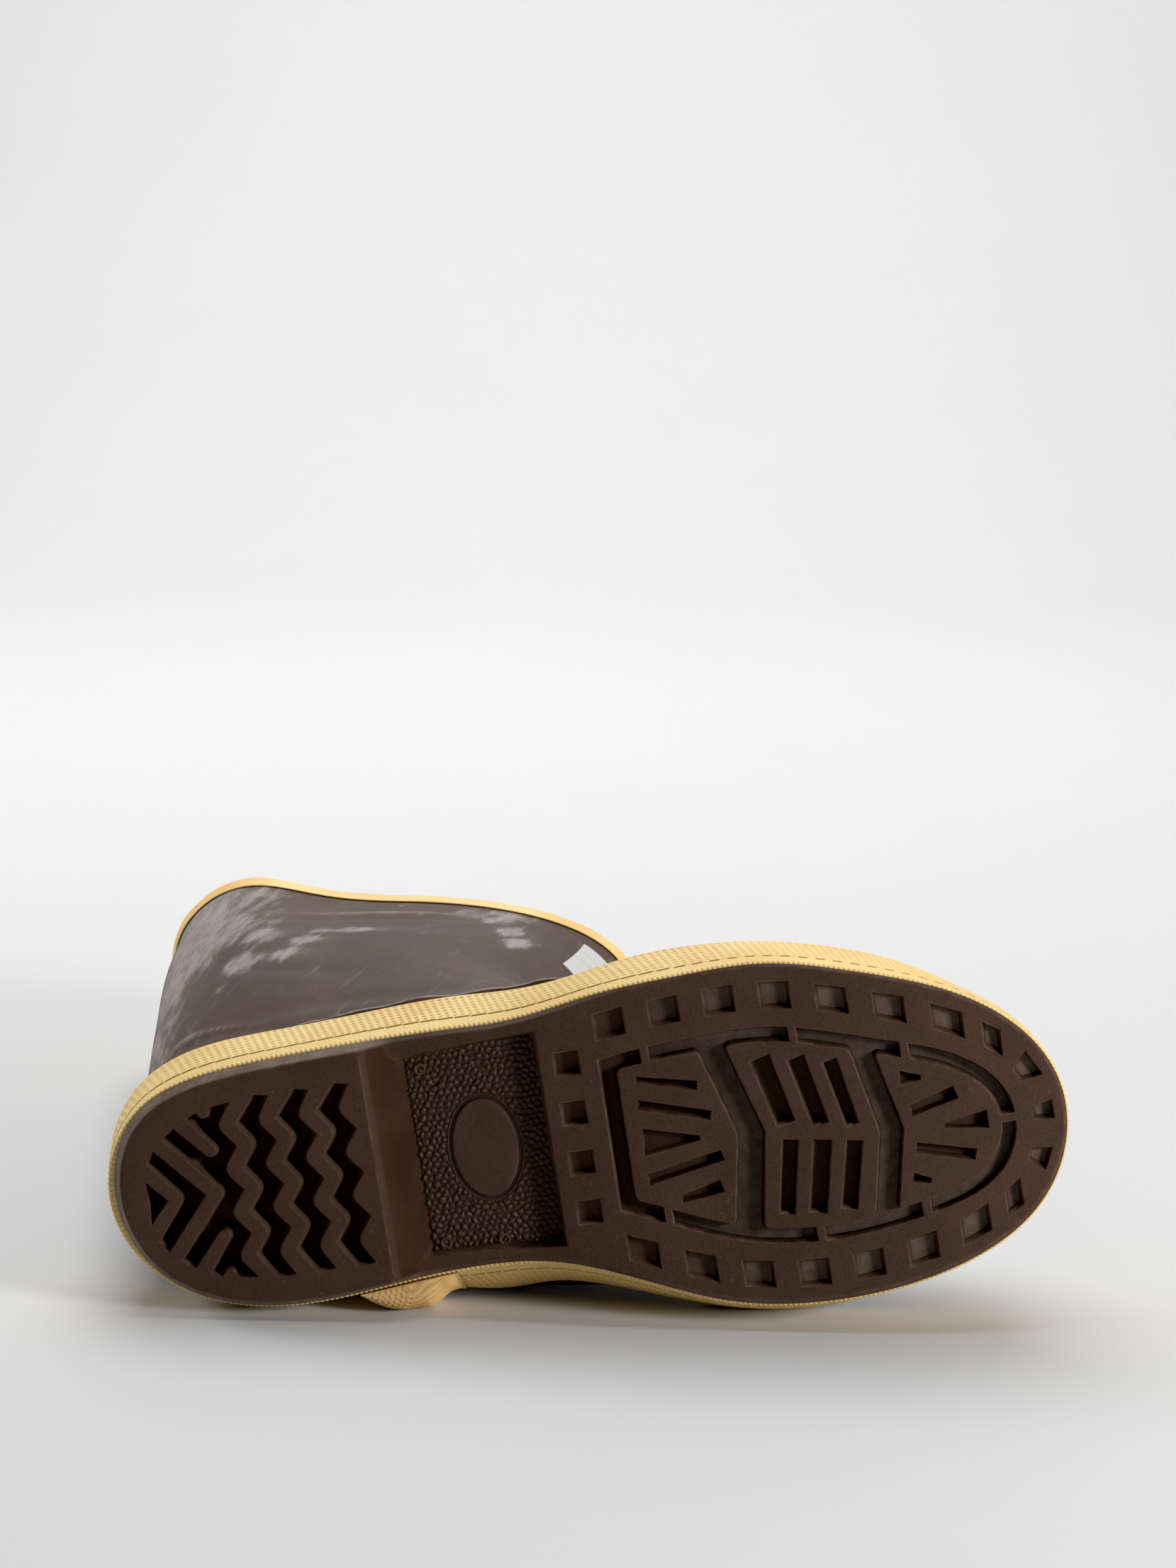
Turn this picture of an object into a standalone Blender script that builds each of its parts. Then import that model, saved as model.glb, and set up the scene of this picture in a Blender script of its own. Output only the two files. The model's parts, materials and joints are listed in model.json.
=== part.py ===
"""Right rubber deck boot, size 7, lying on its inner side.

The boot is worked out standing in its own frame, in millimetres: X runs from the heel to the toe,
Y towards the inner side of the foot and Z from the ground up the shaft. Each piece is then laid on
its inner side by one empty, so that heel, ball and collar rest on the floor.
"""
import math

import bmesh
import bpy
import numpy as np
from mathutils import Matrix, Vector
from mathutils.geometry import delaunay_2d_cdt

MM = 0.001  # one millimetre in metres


def table(columns, *rows):
    """A short table with a row for each section, read back by the name of its column."""
    return dict(zip(columns.split(), np.array(rows, float).T))


def table_rows(columns):
    """Rows of a table, each read by the names of its columns."""
    return [dict(zip(columns, values)) for values in zip(*columns.values())]


# Driving sizes, in millimetres
SOLE_LENGTH = 284.0
GAP = 0.3               # clearance between neighbouring pieces
UPPER_WALL = 2.6
INSOLE_THICKNESS = 3.6
SIDE_COLUMNS = 28       # columns of points along each side of the boot

# Plan of the tread: centre line and breadth at stations from the heel
SOLE = table(
    "x centre breadth",
    (0.0, -1.0, 0.0),
    (10.0, -0.4, 48.0),
    (25.0, 0.8, 64.6),
    (55.0, 1.4, 72.6),
    (85.0, -0.1, 71.6),
    (105.0, -0.6, 71.1),
    (125.0, -0.2, 73.3),
    (150.0, 1.7, 86.0),
    (175.0, 5.8, 98.4),
    (200.0, 8.1, 103.3),
    (225.0, 10.9, 97.2),
    (250.0, 12.9, 83.0),
    (270.0, 14.2, 59.2),
    (284.0, 14.0, 0.0),
)

# Heights of the sole's side above the flat tread, and how far its wall stands out at the foxing
SIDE = table(
    "x foxing_low feather foxing_top wall_out",
    (0.0, 6.0, 20.0, 30.5, 1.8),
    (60.0, 6.0, 19.5, 30.0, 1.6),
    (90.0, 7.2, 18.5, 29.8, 1.2),
    (120.0, 5.3, 14.5, 29.0, 0.9),
    (150.0, 1.8, 11.0, 27.5, 0.8),
    (205.0, 1.2, 9.5, 26.0, 0.6),
    (284.0, 1.2, 10.0, 26.0, 0.6),
)

# How far the foxing leans out from its lower to its upper edge, on each side
FLARE = table(
    "x inner outer",
    (0.0, 2.4, 2.4),
    (25.0, 1.4, 3.8),
    (55.0, 1.0, 3.2),
    (90.0, 9.4, 4.6),
    (110.0, 13.2, 4.8),
    (125.0, 11.8, 4.0),
    (145.0, 10.2, 2.6),
    (170.0, 8.6, 3.4),
    (205.0, 7.4, 1.6),
    (235.0, 5.6, 1.0),
    (262.0, 4.4, -2.2),
    (284.0, -0.6, -0.6),
)

# Rings of the upper above the foxing: the back and front points, half breadths at heel and forefoot,
# squareness of the plan at both ends, centre line, twist in degrees and the hump of the slack outer wall
RINGS = table(
    "back_x back_z front_x front_z heel_half fore_half heel_power fore_power heel_mid fore_mid twist hump",
    (-2.2, 46.0, 277.0, 47.0, 36.5, 47.0, 2.5, 2.4, 0.5, 9.5, 0.0, 0.0),
    (-2.6, 58.0, 263.0, 57.0, 36.0, 43.0, 2.4, 2.4, 0.4, 9.0, 0.0, 0.0),
    (-3.4, 70.0, 237.0, 65.5, 36.5, 40.0, 2.4, 2.3, 0.2, 8.0, 0.0, 0.0),
    (-4.2, 83.0, 204.0, 74.5, 37.3, 38.5, 2.4, 2.3, 0.0, 6.0, 0.0, 0.0),
    (-4.8, 97.0, 172.0, 87.5, 38.0, 37.5, 2.4, 2.3, -0.3, 4.0, 0.0, 0.0),
    (-5.3, 113.0, 148.0, 105.5, 38.5, 37.5, 2.4, 2.3, -0.8, 2.0, 0.5, 0.0),
    (-6.3, 133.0, 134.0, 129.0, 39.0, 38.0, 2.4, 2.3, -1.5, 0.2, 1.5, 0.3),
    (-8.5, 160.0, 129.0, 158.0, 39.0, 38.0, 2.4, 2.3, -1.7, -1.0, 3.0, 1.2),
    (-12.2, 205.0, 134.0, 204.0, 38.0, 37.0, 2.6, 2.3, -1.2, -1.0, 5.2, 4.0),
    (-15.4, 255.0, 144.0, 255.0, 35.6, 34.6, 3.0, 2.2, 0.3, 0.5, 7.2, 7.0),
    (-16.5, 305.0, 153.0, 305.0, 33.0, 32.4, 3.6, 2.15, 1.7, 1.7, 8.5, 9.6),
)
UPPER_ROWS = (36, 42, 48, 54, 60, 66, 72, 78, 84, 91, 98, 106, 116, 129, 144, 160, 182, 205, 230, 255, 280)
FORWARD = (0.15, 0.75)  # along the ring, where the heel's sizes pass over to the forefoot's
HUMP_PLACE = 0.13       # along the ring, from the back
HUMP_SPREAD = 0.17
BINDING_LEG = 7.0       # the binding reaches this far down the collar
BINDING_THICKNESS = 1.4

# Foxing: a ribbed strip below, a groove, and a knurled band above
STRIP_THICKNESS = 3.0
STRIP_HEIGHT = 5.2
GROOVE_HEIGHT = 1.2
GROOVE_DEPTH = 1.0
BAND_THICKNESS = 2.4
EDGE_CHAMFER = 0.6

# Splice where the ends of the foxing lap, on the inner side of the heel breast
SPLICE_FROM = 67.0
SPLICE_TO = 97.0
SPLICE_BULGE = 6.4
SPLICE_EDGE = 0.7
SPLICE_STEPS = 10
SPLICE_ROWS = table("height fullness", (0.0, 0.5), (0.33, 1.0), (0.67, 0.8), (1.0, 0.1))

# Rise of the tread: heel breast, shank and toe spring
HEEL_END = 77.7
BREAST_END = 90.4
FOREFOOT_START = 150.0
SHANK_RISE = 6.0
SPRING_START = 205.0
TOE_SPRING = 9.0

# Depths of the tread and the run of its sloping walls
HEEL_DEPTH = 4.2
CHANNEL_DEPTH = 3.6
POCKET_DEPTH = 3.2
SLIT_DEPTH = 3.4
PANEL_DEPTH = 2.6
WALL_RUN = 0.7

# Heel: zigzag grooves across it and chevrons behind them
HEEL_AXIS = 0.9
ZIGZAG_FIRST = 37.6     # tips of the first groove
ZIGZAG_PITCH = 12.1
ZIGZAG_WIDTH = 6.4
ZIGZAG_SWING = 5.2
TOOTH_PITCH = 13.5
GROOVE_TEETH = 5
GROOVE_COUNT = 4        # the first one is joined to the fingers behind it
GROOVE_ENDS = table("place back_dx front_dx front_dy", (-27.4, 1.6, -0.4, 1.0), (29.2, 0.2, -0.8, -0.6))
HEEL_FINGERS = (
    (31.2, -25.4), (30.4, -22.6), (28.4, -22.3), (27.0, -24.4), (23.3, -23.0), (31.1, -13.2),
    (31.4, -11.6), (30.2, -10.4), (28.4, -10.6), (19.6, -20.6), (15.4, -18.0), (31.0, 0.0),
)
HEEL_CHEVRON = ((19.6, 0.9), (10.0, -11.0), (12.5, -14.6), (26.0, 0.9))
HEEL_TRIANGLE = ((8.5, -5.9), (14.5, 0.9))

# Shank: sunk panel and a bare oval inside it
PANEL_CORNERS = ((90.4, -30.6), (130.6, -33.6), (130.6, 32.4), (113.5, 31.2), (90.4, 30.2))
OVAL_CENTRE = (111.0, -1.3)
OVAL_RADII = (11.4, 16.2)
OVAL_RIM = 1.1
OVAL_STEPS = 24
OVAL_CONTOURS = table("inward depth", (0.0, 1.0), (0.5, 0.55), (1.0, 0.55), (1.5, 0.8))

# Forefoot: square pockets along the rim and across the waist
SQUARE_X = 138.7
SQUARE_FIRST = -22.8
SQUARE_PITCH = 15.25
SQUARE_SIZE = (7.6, 7.2)
SQUARE_COUNT = 4
RIM_FIRST = 153.0
RIM_PITCH = 16.6
RIM_COUNT = 7
RIM_LENGTH = 9.2
RIM_DEPTH = 8.1
RIM_EDGE = 4.7          # from the edge of the sole to the pocket
RIM_LAST = (265.2, 5.2)  # place and length of the last, narrow pair
TOE_POCKETS = table("angle half_outer half_inner", (-0.245, 4.6, 2.1), (0.0, 2.9, 1.9), (0.225, 3.5, 1.8))
TOE_POCKET_EDGE = 3.4
TOE_POCKET_DEPTH = 6.2

# Forefoot: channel round three islands, two chevron channels and the webs across the channel
CHANNEL_START = 148.0
CHANNEL_EDGE = 18.3     # from the edge of the sole to the channel, at the waist and at the toe
CHANNEL_TOE_EDGE = 15.0
CHANNEL_TOE_START = 235.0
CHANNEL_WIDTH = 4.4
CHANNEL_CROSS_WIDTH = 5.2
CHANNEL_STEP = 9.0
TOE_CLEARANCE = 2.0
WEB = 2.2
WEBS = table("x", (162.0,), (206.4,), (238.6,))
CHEVRONS = table(
    "outer_x point_x point_y inner_x width",
    (181.8, 190.1, 6.3, 185.6, 8.4),
    (226.0, 231.6, 11.6, 226.8, 7.4),
)

# Slits of the islands, as tapering bars from a start to an end
SLIT_RUN = 0.28         # greatest run of a slit's wall, as a share of its width
SLITS = table(
    "x0 y0 width0 x1 y1 width1",
    (158.4, -15.0, 1.6, 176.2, -10.6, 2.8),
    (157.8, -7.3, 3.0, 179.0, -1.0, 2.8),
    (157.8, 4.3, 8.6, 174.7, 5.3, 1.3),
    (157.6, 15.8, 3.3, 180.7, 11.4, 3.3),
    (166.6, 23.2, 2.2, 179.3, 20.7, 4.0),
    (195.7, -16.1, 6.4, 200.7, 4.8, 5.7),
    (206.3, -14.6, 5.6, 210.9, 6.6, 5.0),
    (216.1, -12.3, 4.7, 220.3, 8.2, 4.0),
    (201.3, 9.8, 5.0, 197.2, 32.1, 4.7),
    (210.8, 11.2, 5.6, 206.4, 33.1, 5.4),
    (220.2, 12.9, 5.0, 215.8, 33.3, 5.0),
    (236.1, -3.6, 4.4, 242.4, -2.8, 1.3),
    (238.0, 6.8, 3.3, 252.2, 3.4, 4.2),
    (247.3, 13.0, 1.3, 260.6, 13.2, 5.6),
    (238.0, 18.2, 3.4, 255.6, 23.3, 3.3),
    (235.9, 27.2, 3.4, 241.2, 28.9, 1.4),
)

# Places that rest on the floor: stations along the foot, and heights
HEEL_REST = (0.0, 115.0)
BALL_REST = (150.0, 250.0)
FOOT_REST_TOP = 60.0
COLLAR_REST = 250.0
SETTLING_STEPS = 12
SHARP_ANGLE = math.radians(35)

# Finishes: colour, roughness
FINISHES = {
    "upper": ((0.105, 0.078, 0.070), 0.55),
    "outsole": ((0.046, 0.028, 0.024), 0.60),
    "foxing": ((0.70, 0.43, 0.15), 0.55),
    "foxing_splice": ((0.66, 0.38, 0.13), 0.55),
    "collar_binding": ((0.72, 0.40, 0.10), 0.50),
    "insole": ((0.18, 0.15, 0.12), 0.90),
}


def spline(knots, values, at):
    """Natural cubic spline through the rows of values at the knots, read at the places given."""
    knots = np.asarray(knots, float)
    values = np.asarray(values, float)
    at = np.asarray(at, float)
    step = np.diff(knots)
    count = len(knots)
    matrix = np.eye(count)
    slopes = np.diff(values, axis=0) / step.reshape(-1, *[1] * (values.ndim - 1))
    bends = np.zeros_like(values)
    for row in range(1, count - 1):
        matrix[row, row - 1:row + 2] = step[row - 1], 2 * (step[row - 1] + step[row]), step[row]
        bends[row] = 6 * (slopes[row] - slopes[row - 1])
    bends = np.linalg.solve(matrix, bends.reshape(count, -1)).reshape(values.shape)
    span = np.clip(np.searchsorted(knots, at) - 1, 0, count - 2)
    shape = (-1,) + (1,) * (values.ndim - 1)
    width = step[span].reshape(shape)
    right = ((at - knots[span]) / step[span]).reshape(shape)
    left = 1 - right
    curve = (left ** 3 - left) * bends[span] + (right ** 3 - right) * bends[span + 1]
    return left * values[span] + right * values[span + 1] + width ** 2 / 6 * curve


def ease(value, start, end):
    """Smooth step from 0 at the start to 1 at the end."""
    share = np.clip((np.asarray(value, float) - start) / (end - start), 0, 1)
    return share * share * (3 - 2 * share)


def station_angle(x):
    """Angle whose cosine places a station along the sole, so that heel and toe come out round."""
    return np.arccos(np.clip(1 - 2 * np.asarray(x, float) / SOLE_LENGTH, -1, 1))


def boot_columns():
    """Angles of the columns round the boot: heel, outer side, toe and back along the inner side."""
    angles = np.linspace(0, math.pi, SIDE_COLUMNS + 1)
    for station in (HEEL_END, BREAST_END):
        angle = station_angle(station)
        angles[np.argmin(np.abs(angles - angle))] = angle
    return np.concatenate([angles, 2 * math.pi - angles[-2:0:-1]])


def fold(columns):
    """Angle of the station of each column, and its side: -1 outer, +1 inner."""
    outer = columns <= math.pi
    return np.where(outer, columns, 2 * math.pi - columns), np.where(outer, -1.0, 1.0)


def sole_edge(columns):
    """Edge of the tread in plan, with the outward direction at each of its points."""
    angle, side = fold(columns)
    knots = station_angle(SOLE["x"])
    centre = spline(knots, SOLE["centre"], angle)
    half = spline(knots, SOLE["breadth"], angle) / 2
    x = SOLE_LENGTH * (1 - np.cos(angle)) / 2
    edge = np.stack([x, centre + side * half], -1)
    along = np.roll(edge, -1, 0) - np.roll(edge, 1, 0)
    outward = np.stack([along[:, 1], -along[:, 0]], -1)
    return edge, outward / np.linalg.norm(outward, axis=1, keepdims=True)


def toe_spring(x):
    """Lift of the toe."""
    return TOE_SPRING * np.clip((x - SPRING_START) / (SOLE_LENGTH - SPRING_START), 0, 1) ** 2


def tread_rise(x):
    """Height of the tread above the ground, with the heel breast, the shank and the toe spring."""
    breast = np.clip((x - HEEL_END) / (BREAST_END - HEEL_END), 0, 1)
    return SHANK_RISE * breast * (1 - ease(x, BREAST_END, FOREFOOT_START)) + toe_spring(x)


def side_height(name, x):
    """Height of a line along the side of the sole."""
    return spline(SIDE["x"], SIDE[name], x) + toe_spring(x)


def side_ring(columns, height, stand_off):
    """Ring round the boot at a height, this far outside the core that the foxing is wrapped on.

    The core leans out by the flare from the lower to the upper edge of the foxing.
    """
    edge, outward = sole_edge(columns)
    x = edge[:, 0]
    inner = spline(FLARE["x"], FLARE["inner"], x)
    outer = spline(FLARE["x"], FLARE["outer"], x)
    flare = np.where(columns <= math.pi, outer, inner)
    low = side_height("foxing_low", x)
    share = (height - low) / (side_height("foxing_top", x) - low)
    out = core_offset(x) + flare * share + stand_off
    return np.column_stack([edge + outward * out[:, None], height])


def core_offset(x):
    """Distance of the core from the edge of the tread at the foxing's lower edge."""
    return spline(SIDE["x"], SIDE["wall_out"], x) + EDGE_CHAMFER - STRIP_THICKNESS - GAP


def upper_rings(columns):
    """Rings of the outer face of the upper that the table gives, with the foxing's top ring first."""
    edge, _ = sole_edge(columns)
    angle, side = fold(columns)
    share = (1 - np.cos(angle)) / 2
    rings = [side_ring(columns, side_height("foxing_top", edge[:, 0]), 0.0)]
    forward = ease(share, *FORWARD)
    for ring in table_rows(RINGS):
        power = np.where(np.cos(angle) > 0, ring["heel_power"], ring["fore_power"])
        cap = np.clip(1 - np.abs(np.cos(angle)) ** power, 0, 1) ** (1 / power)
        half = cap * (ring["heel_half"] + (ring["fore_half"] - ring["heel_half"]) * forward)
        bump = ring["hump"] * cap * np.exp(-((share - HUMP_PLACE) / HUMP_SPREAD) ** 2)
        middle = ring["heel_mid"] + (ring["fore_mid"] - ring["heel_mid"]) * forward
        x = ring["back_x"] + share * (ring["front_x"] - ring["back_x"])
        y = middle + side * half - np.where(side < 0, bump, 0)
        z = ring["back_z"] + share * (ring["front_z"] - ring["back_z"])
        turn = math.radians(ring["twist"])
        mid_x = (ring["back_x"] + ring["front_x"]) / 2
        rings.append(np.stack([
            mid_x + (x - mid_x) * math.cos(turn) - (y - ring["heel_mid"]) * math.sin(turn),
            ring["heel_mid"] + (x - mid_x) * math.sin(turn) + (y - ring["heel_mid"]) * math.cos(turn),
            z,
        ], -1))
    return np.array(rings)


def upper_face(columns, heights):
    """Outer face of the upper: its rings joined by smooth curves and read at heights of the back."""
    rings = upper_rings(columns)
    knots = np.concatenate([[SIDE["foxing_top"][0]], RINGS["back_z"]])
    return spline(knots, rings, heights)


def face_normals(face):
    """Outward directions of a face given as rows of closed rings."""
    around = np.roll(face, -1, 1) - np.roll(face, 1, 1)
    normals = np.cross(around, np.gradient(face, axis=0))
    return normals / np.linalg.norm(normals, axis=2, keepdims=True)


def ring_faces(rows, columns, first=0):
    """Triangles between successive closed rings, facing outwards when the rings rise.

    Every quad is split along the same diagonal, so that faces made on the same core stay parallel.
    """
    row, column = np.meshgrid(np.arange(rows - 1), np.arange(columns), indexing="ij")
    after = (column + 1) % columns
    low, low_after = row * columns + column, row * columns + after
    high, high_after = low + columns, low_after + columns
    triangles = np.stack([low, low_after, high_after, low, high_after, high], -1)
    return (triangles.reshape(-1, 3) + first).tolist()


def cap_faces(columns, first, upwards):
    """Faces across a ring, from the outer to the inner side, station by station."""
    half = columns // 2
    faces = [(first, first + 1, first + columns - 1)]
    for step in range(1, half - 1):
        faces.append((first + step, first + step + 1, first + columns - step - 1, first + columns - step))
    faces.append((first + half - 1, first + half, first + half + 1))
    return faces if upwards else [face[::-1] for face in faces]


def add_piece(name, points, faces, parent):
    """Mesh object with its own finish, from points in millimetres, carried by the lying pose."""
    mesh = bpy.data.meshes.new(name)
    mesh.from_pydata((np.asarray(points) * MM).tolist(), [], faces)
    work = bmesh.new()
    work.from_mesh(mesh)
    bmesh.ops.triangulate(work, faces=work.faces)
    work.to_mesh(mesh)
    work.free()
    mesh.shade_smooth()
    mesh.set_sharp_from_angle(angle=SHARP_ANGLE)
    colour, roughness = FINISHES[name]
    material = bpy.data.materials.new(name)
    material.use_nodes = True
    shader = material.node_tree.nodes["Principled BSDF"]
    shader.inputs["Base Color"].default_value = (*colour, 1.0)
    shader.inputs["Roughness"].default_value = roughness
    shader.inputs["Metallic"].default_value = 0.0
    mesh.materials.append(material)
    piece = bpy.data.objects.new(name, mesh)
    bpy.context.scene.collection.objects.link(piece)
    piece.parent = parent
    return piece


def inset(loop, distance):
    """Loop moved in by a distance; its points run counter-clockwise."""
    loop = np.asarray(loop, float)
    along = np.roll(loop, -1, 0) - loop
    along /= np.linalg.norm(along, axis=1, keepdims=True)
    inward = np.stack([-along[:, 1], along[:, 0]], -1)
    before = np.roll(inward, 1, 0)
    reach = 1 + np.sum(inward * before, axis=1, keepdims=True)
    return loop + distance * (inward + before) / reach


def counter_clockwise(loop):
    """Loop with its points in counter-clockwise order."""
    loop = np.asarray(loop, float)
    after = np.roll(loop, -1, 0)
    area = np.sum(loop[:, 0] * after[:, 1] - after[:, 0] * loop[:, 1])
    return loop if area > 0 else loop[::-1]


def recess(loop, depth, run=WALL_RUN):
    """A recess as two contours: its edge on the tread and its floor inside sloping walls."""
    loop = counter_clockwise(loop)
    return [(loop, 0.0), (inset(loop, run), depth)]


def turned_over(points):
    """Points turned over the heel's axis, in the opposite order."""
    return [(x, 2 * HEEL_AXIS - y) for x, y in points[::-1]]


def zigzag(tip_x):
    """Zigzag edge across the heel with its tips at tip_x, from the outer to the inner side."""
    step = np.arange(2 * GROOVE_TEETH - 1)
    first_tip = HEEL_AXIS - (GROOVE_TEETH - 1) * TOOTH_PITCH / 2
    return np.stack([tip_x - ZIGZAG_SWING * (step % 2), first_tip + step * TOOTH_PITCH / 2], -1)


def heel_recesses():
    """Heel grooves: three zigzags, the joined first groove with its fingers, a chevron, a triangle."""
    contours = []
    for groove in range(1, GROOVE_COUNT):
        front = zigzag(ZIGZAG_FIRST + groove * ZIGZAG_PITCH)
        back = front - (ZIGZAG_WIDTH, 0)
        for tip, end in zip((0, -1), table_rows(GROOVE_ENDS)):
            back[tip] = back[tip][0] + end["back_dx"], end["place"]
            front[tip] = front[tip][0] + end["front_dx"], end["place"] + end["front_dy"]
        contours += recess(np.concatenate([front, back[::-1]]), HEEL_DEPTH)
    first_front = zigzag(ZIGZAG_FIRST)[::-1].tolist()
    contours += recess(first_front + [*HEEL_FINGERS, *turned_over(HEEL_FINGERS)], HEEL_DEPTH)
    contours += recess([*HEEL_CHEVRON, *turned_over(HEEL_CHEVRON[1:3])], HEEL_DEPTH)
    contours += recess([*HEEL_TRIANGLE, *turned_over(HEEL_TRIANGLE[:1])], HEEL_DEPTH)
    return contours


def shank_recesses():
    """Sunk panel of the shank with the bare oval, whose rim stands up round a lower face."""
    turn = np.linspace(0, 2 * math.pi, OVAL_STEPS, endpoint=False)
    ring = np.stack([np.cos(turn), np.sin(turn)], -1)
    contours = recess(PANEL_CORNERS, PANEL_DEPTH, 2 * WALL_RUN)
    for contour in table_rows(OVAL_CONTOURS):
        radii = np.array(OVAL_RADII) - OVAL_RIM * contour["inward"]
        contours.append((ring * radii + OVAL_CENTRE, PANEL_DEPTH * contour["depth"]))
    return contours


def edge_y(x, side, distance=0.0):
    """Y of the sole's edge on one side at stations x, moved in by a distance."""
    columns = boot_columns()
    edge, outward = sole_edge(columns)
    half = slice(1, SIDE_COLUMNS) if side < 0 else slice(-1, SIDE_COLUMNS, -1)
    line = edge[half] - outward[half] * np.broadcast_to(distance, len(edge))[half][:, None]
    return np.interp(x, line[:, 0], line[:, 1])


def rim_pockets():
    """Square pockets: four across the waist, pairs along both sides, and three round the toe."""
    contours = []
    half_x, half_y = SQUARE_SIZE[0] / 2, SQUARE_SIZE[1] / 2
    for square in range(SQUARE_COUNT):
        middle = SQUARE_FIRST + square * SQUARE_PITCH
        contours += recess([(SQUARE_X - half_x, middle - half_y), (SQUARE_X + half_x, middle - half_y),
                            (SQUARE_X + half_x, middle + half_y), (SQUARE_X - half_x, middle + half_y)],
                           POCKET_DEPTH)
    pairs = [(RIM_FIRST + pair * RIM_PITCH, RIM_LENGTH) for pair in range(RIM_COUNT)] + [RIM_LAST]
    for middle, length in pairs:
        ends = np.array([middle - length / 2, middle + length / 2])
        for side in (-1, 1):
            near = edge_y(ends, side) - side * RIM_EDGE
            far = near - side * RIM_DEPTH
            contours += recess([(ends[0], near[0]), (ends[1], near[1]), (ends[1], far[1]), (ends[0], far[0])],
                               POCKET_DEPTH)
    for angle, half_outer, half_inner in zip(*TOE_POCKETS.values()):
        edge, outward = sole_edge(np.array([math.pi - 0.01, math.pi, math.pi + 0.01]) + angle)
        near = edge[1] - outward[1] * TOE_POCKET_EDGE
        far = near - outward[1] * TOE_POCKET_DEPTH
        across = np.array([-outward[1][1], outward[1][0]])
        contours += recess([near - across * half_outer, near + across * half_outer,
                            far + across * half_inner, far - across * half_inner], POCKET_DEPTH)
    return contours


def channel_reach(x):
    """Distance of the forefoot channel from the edge of the sole at stations x."""
    return CHANNEL_EDGE + (CHANNEL_TOE_EDGE - CHANNEL_EDGE) * ease(x, CHANNEL_TOE_START, SOLE_LENGTH)


def channel_line(x, side, further=0.0):
    """Points at stations x on the edge of the forefoot channel, or further in from it."""
    edge, _ = sole_edge(boot_columns())
    return np.column_stack([x, edge_y(x, side, channel_reach(edge[:, 0]) + further)])


def toe_arc(start, side, further):
    """Edge of the channel round the toe, from a station to the web at the tip."""
    edge, outward = sole_edge(boot_columns())
    line = edge - outward * (channel_reach(edge[:, 0]) + further)[:, None]
    tip = line[SIDE_COLUMNS]
    half = line[1:SIDE_COLUMNS] if side < 0 else line[:SIDE_COLUMNS:-1]
    web = tip[1] + side * WEB / 2
    inside = (half[:, 0] > start + TOE_CLEARANCE) & (side * (half[:, 1] - web) > TOE_CLEARANCE / 2)
    return np.concatenate([channel_line(np.array([start]), side, further), half[inside], [(tip[0], web)]])


def stations(start, end):
    """Stations along a stretch of the channel, both ends included."""
    return np.linspace(start, end, max(2, int((end - start) / CHANNEL_STEP) + 1))


def forefoot_recesses():
    """Channel round the islands in five stretches between webs, and the slits of the islands."""
    half_web = WEB / 2
    webs = WEBS["x"]
    outer_run = stations(CHANNEL_START, webs[0] - half_web)
    inner_run = stations(CHANNEL_START + CHANNEL_CROSS_WIDTH, webs[0] - half_web)
    contours = recess(np.concatenate([
        channel_line(outer_run, -1)[::-1], channel_line(outer_run, 1),
        channel_line(inner_run, 1, CHANNEL_WIDTH)[::-1], channel_line(inner_run, -1, CHANNEL_WIDTH),
    ]), CHANNEL_DEPTH)
    for index in range(len(CHEVRONS["width"])):
        start, end = webs[index] + half_web, webs[index + 1] - half_web
        half = CHEVRONS["width"][index] / 2
        points = [CHEVRONS[name][index] for name in ("outer_x", "point_x", "inner_x")]
        run = stations(start, end)
        before = [stations(start, x - half) for x in (points[0], points[2])]
        after = [stations(x + half, end) for x in (points[0], points[2])]
        point_y = CHEVRONS["point_y"][index]
        contours += recess(np.concatenate([
            channel_line(run, -1), channel_line(after[0], -1, CHANNEL_WIDTH)[::-1],
            [(points[1] + half, point_y)],
            channel_line(after[1], 1, CHANNEL_WIDTH), channel_line(run, 1)[::-1],
            channel_line(before[1], 1, CHANNEL_WIDTH), [(points[1] - half, point_y)],
            channel_line(before[0], -1, CHANNEL_WIDTH)[::-1],
        ]), CHANNEL_DEPTH)
    for side in (-1, 1):
        start = webs[2] + half_web
        contours += recess(np.concatenate([
            toe_arc(start, side, 0.0), toe_arc(start, side, CHANNEL_WIDTH)[::-1]]), CHANNEL_DEPTH)
    for x0, y0, width0, x1, y1, width1 in zip(*SLITS.values()):
        along = np.array([x1 - x0, y1 - y0]) / math.hypot(x1 - x0, y1 - y0)
        across = np.array([-along[1], along[0]])
        start, end = np.array([x0, y0]), np.array([x1, y1])
        run = min(WALL_RUN, SLIT_RUN * min(width0, width1))
        contours += recess([start - across * width0 / 2, end - across * width1 / 2,
                            end + across * width1 / 2, start + across * width0 / 2], SLIT_DEPTH, run)
    return contours


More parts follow.
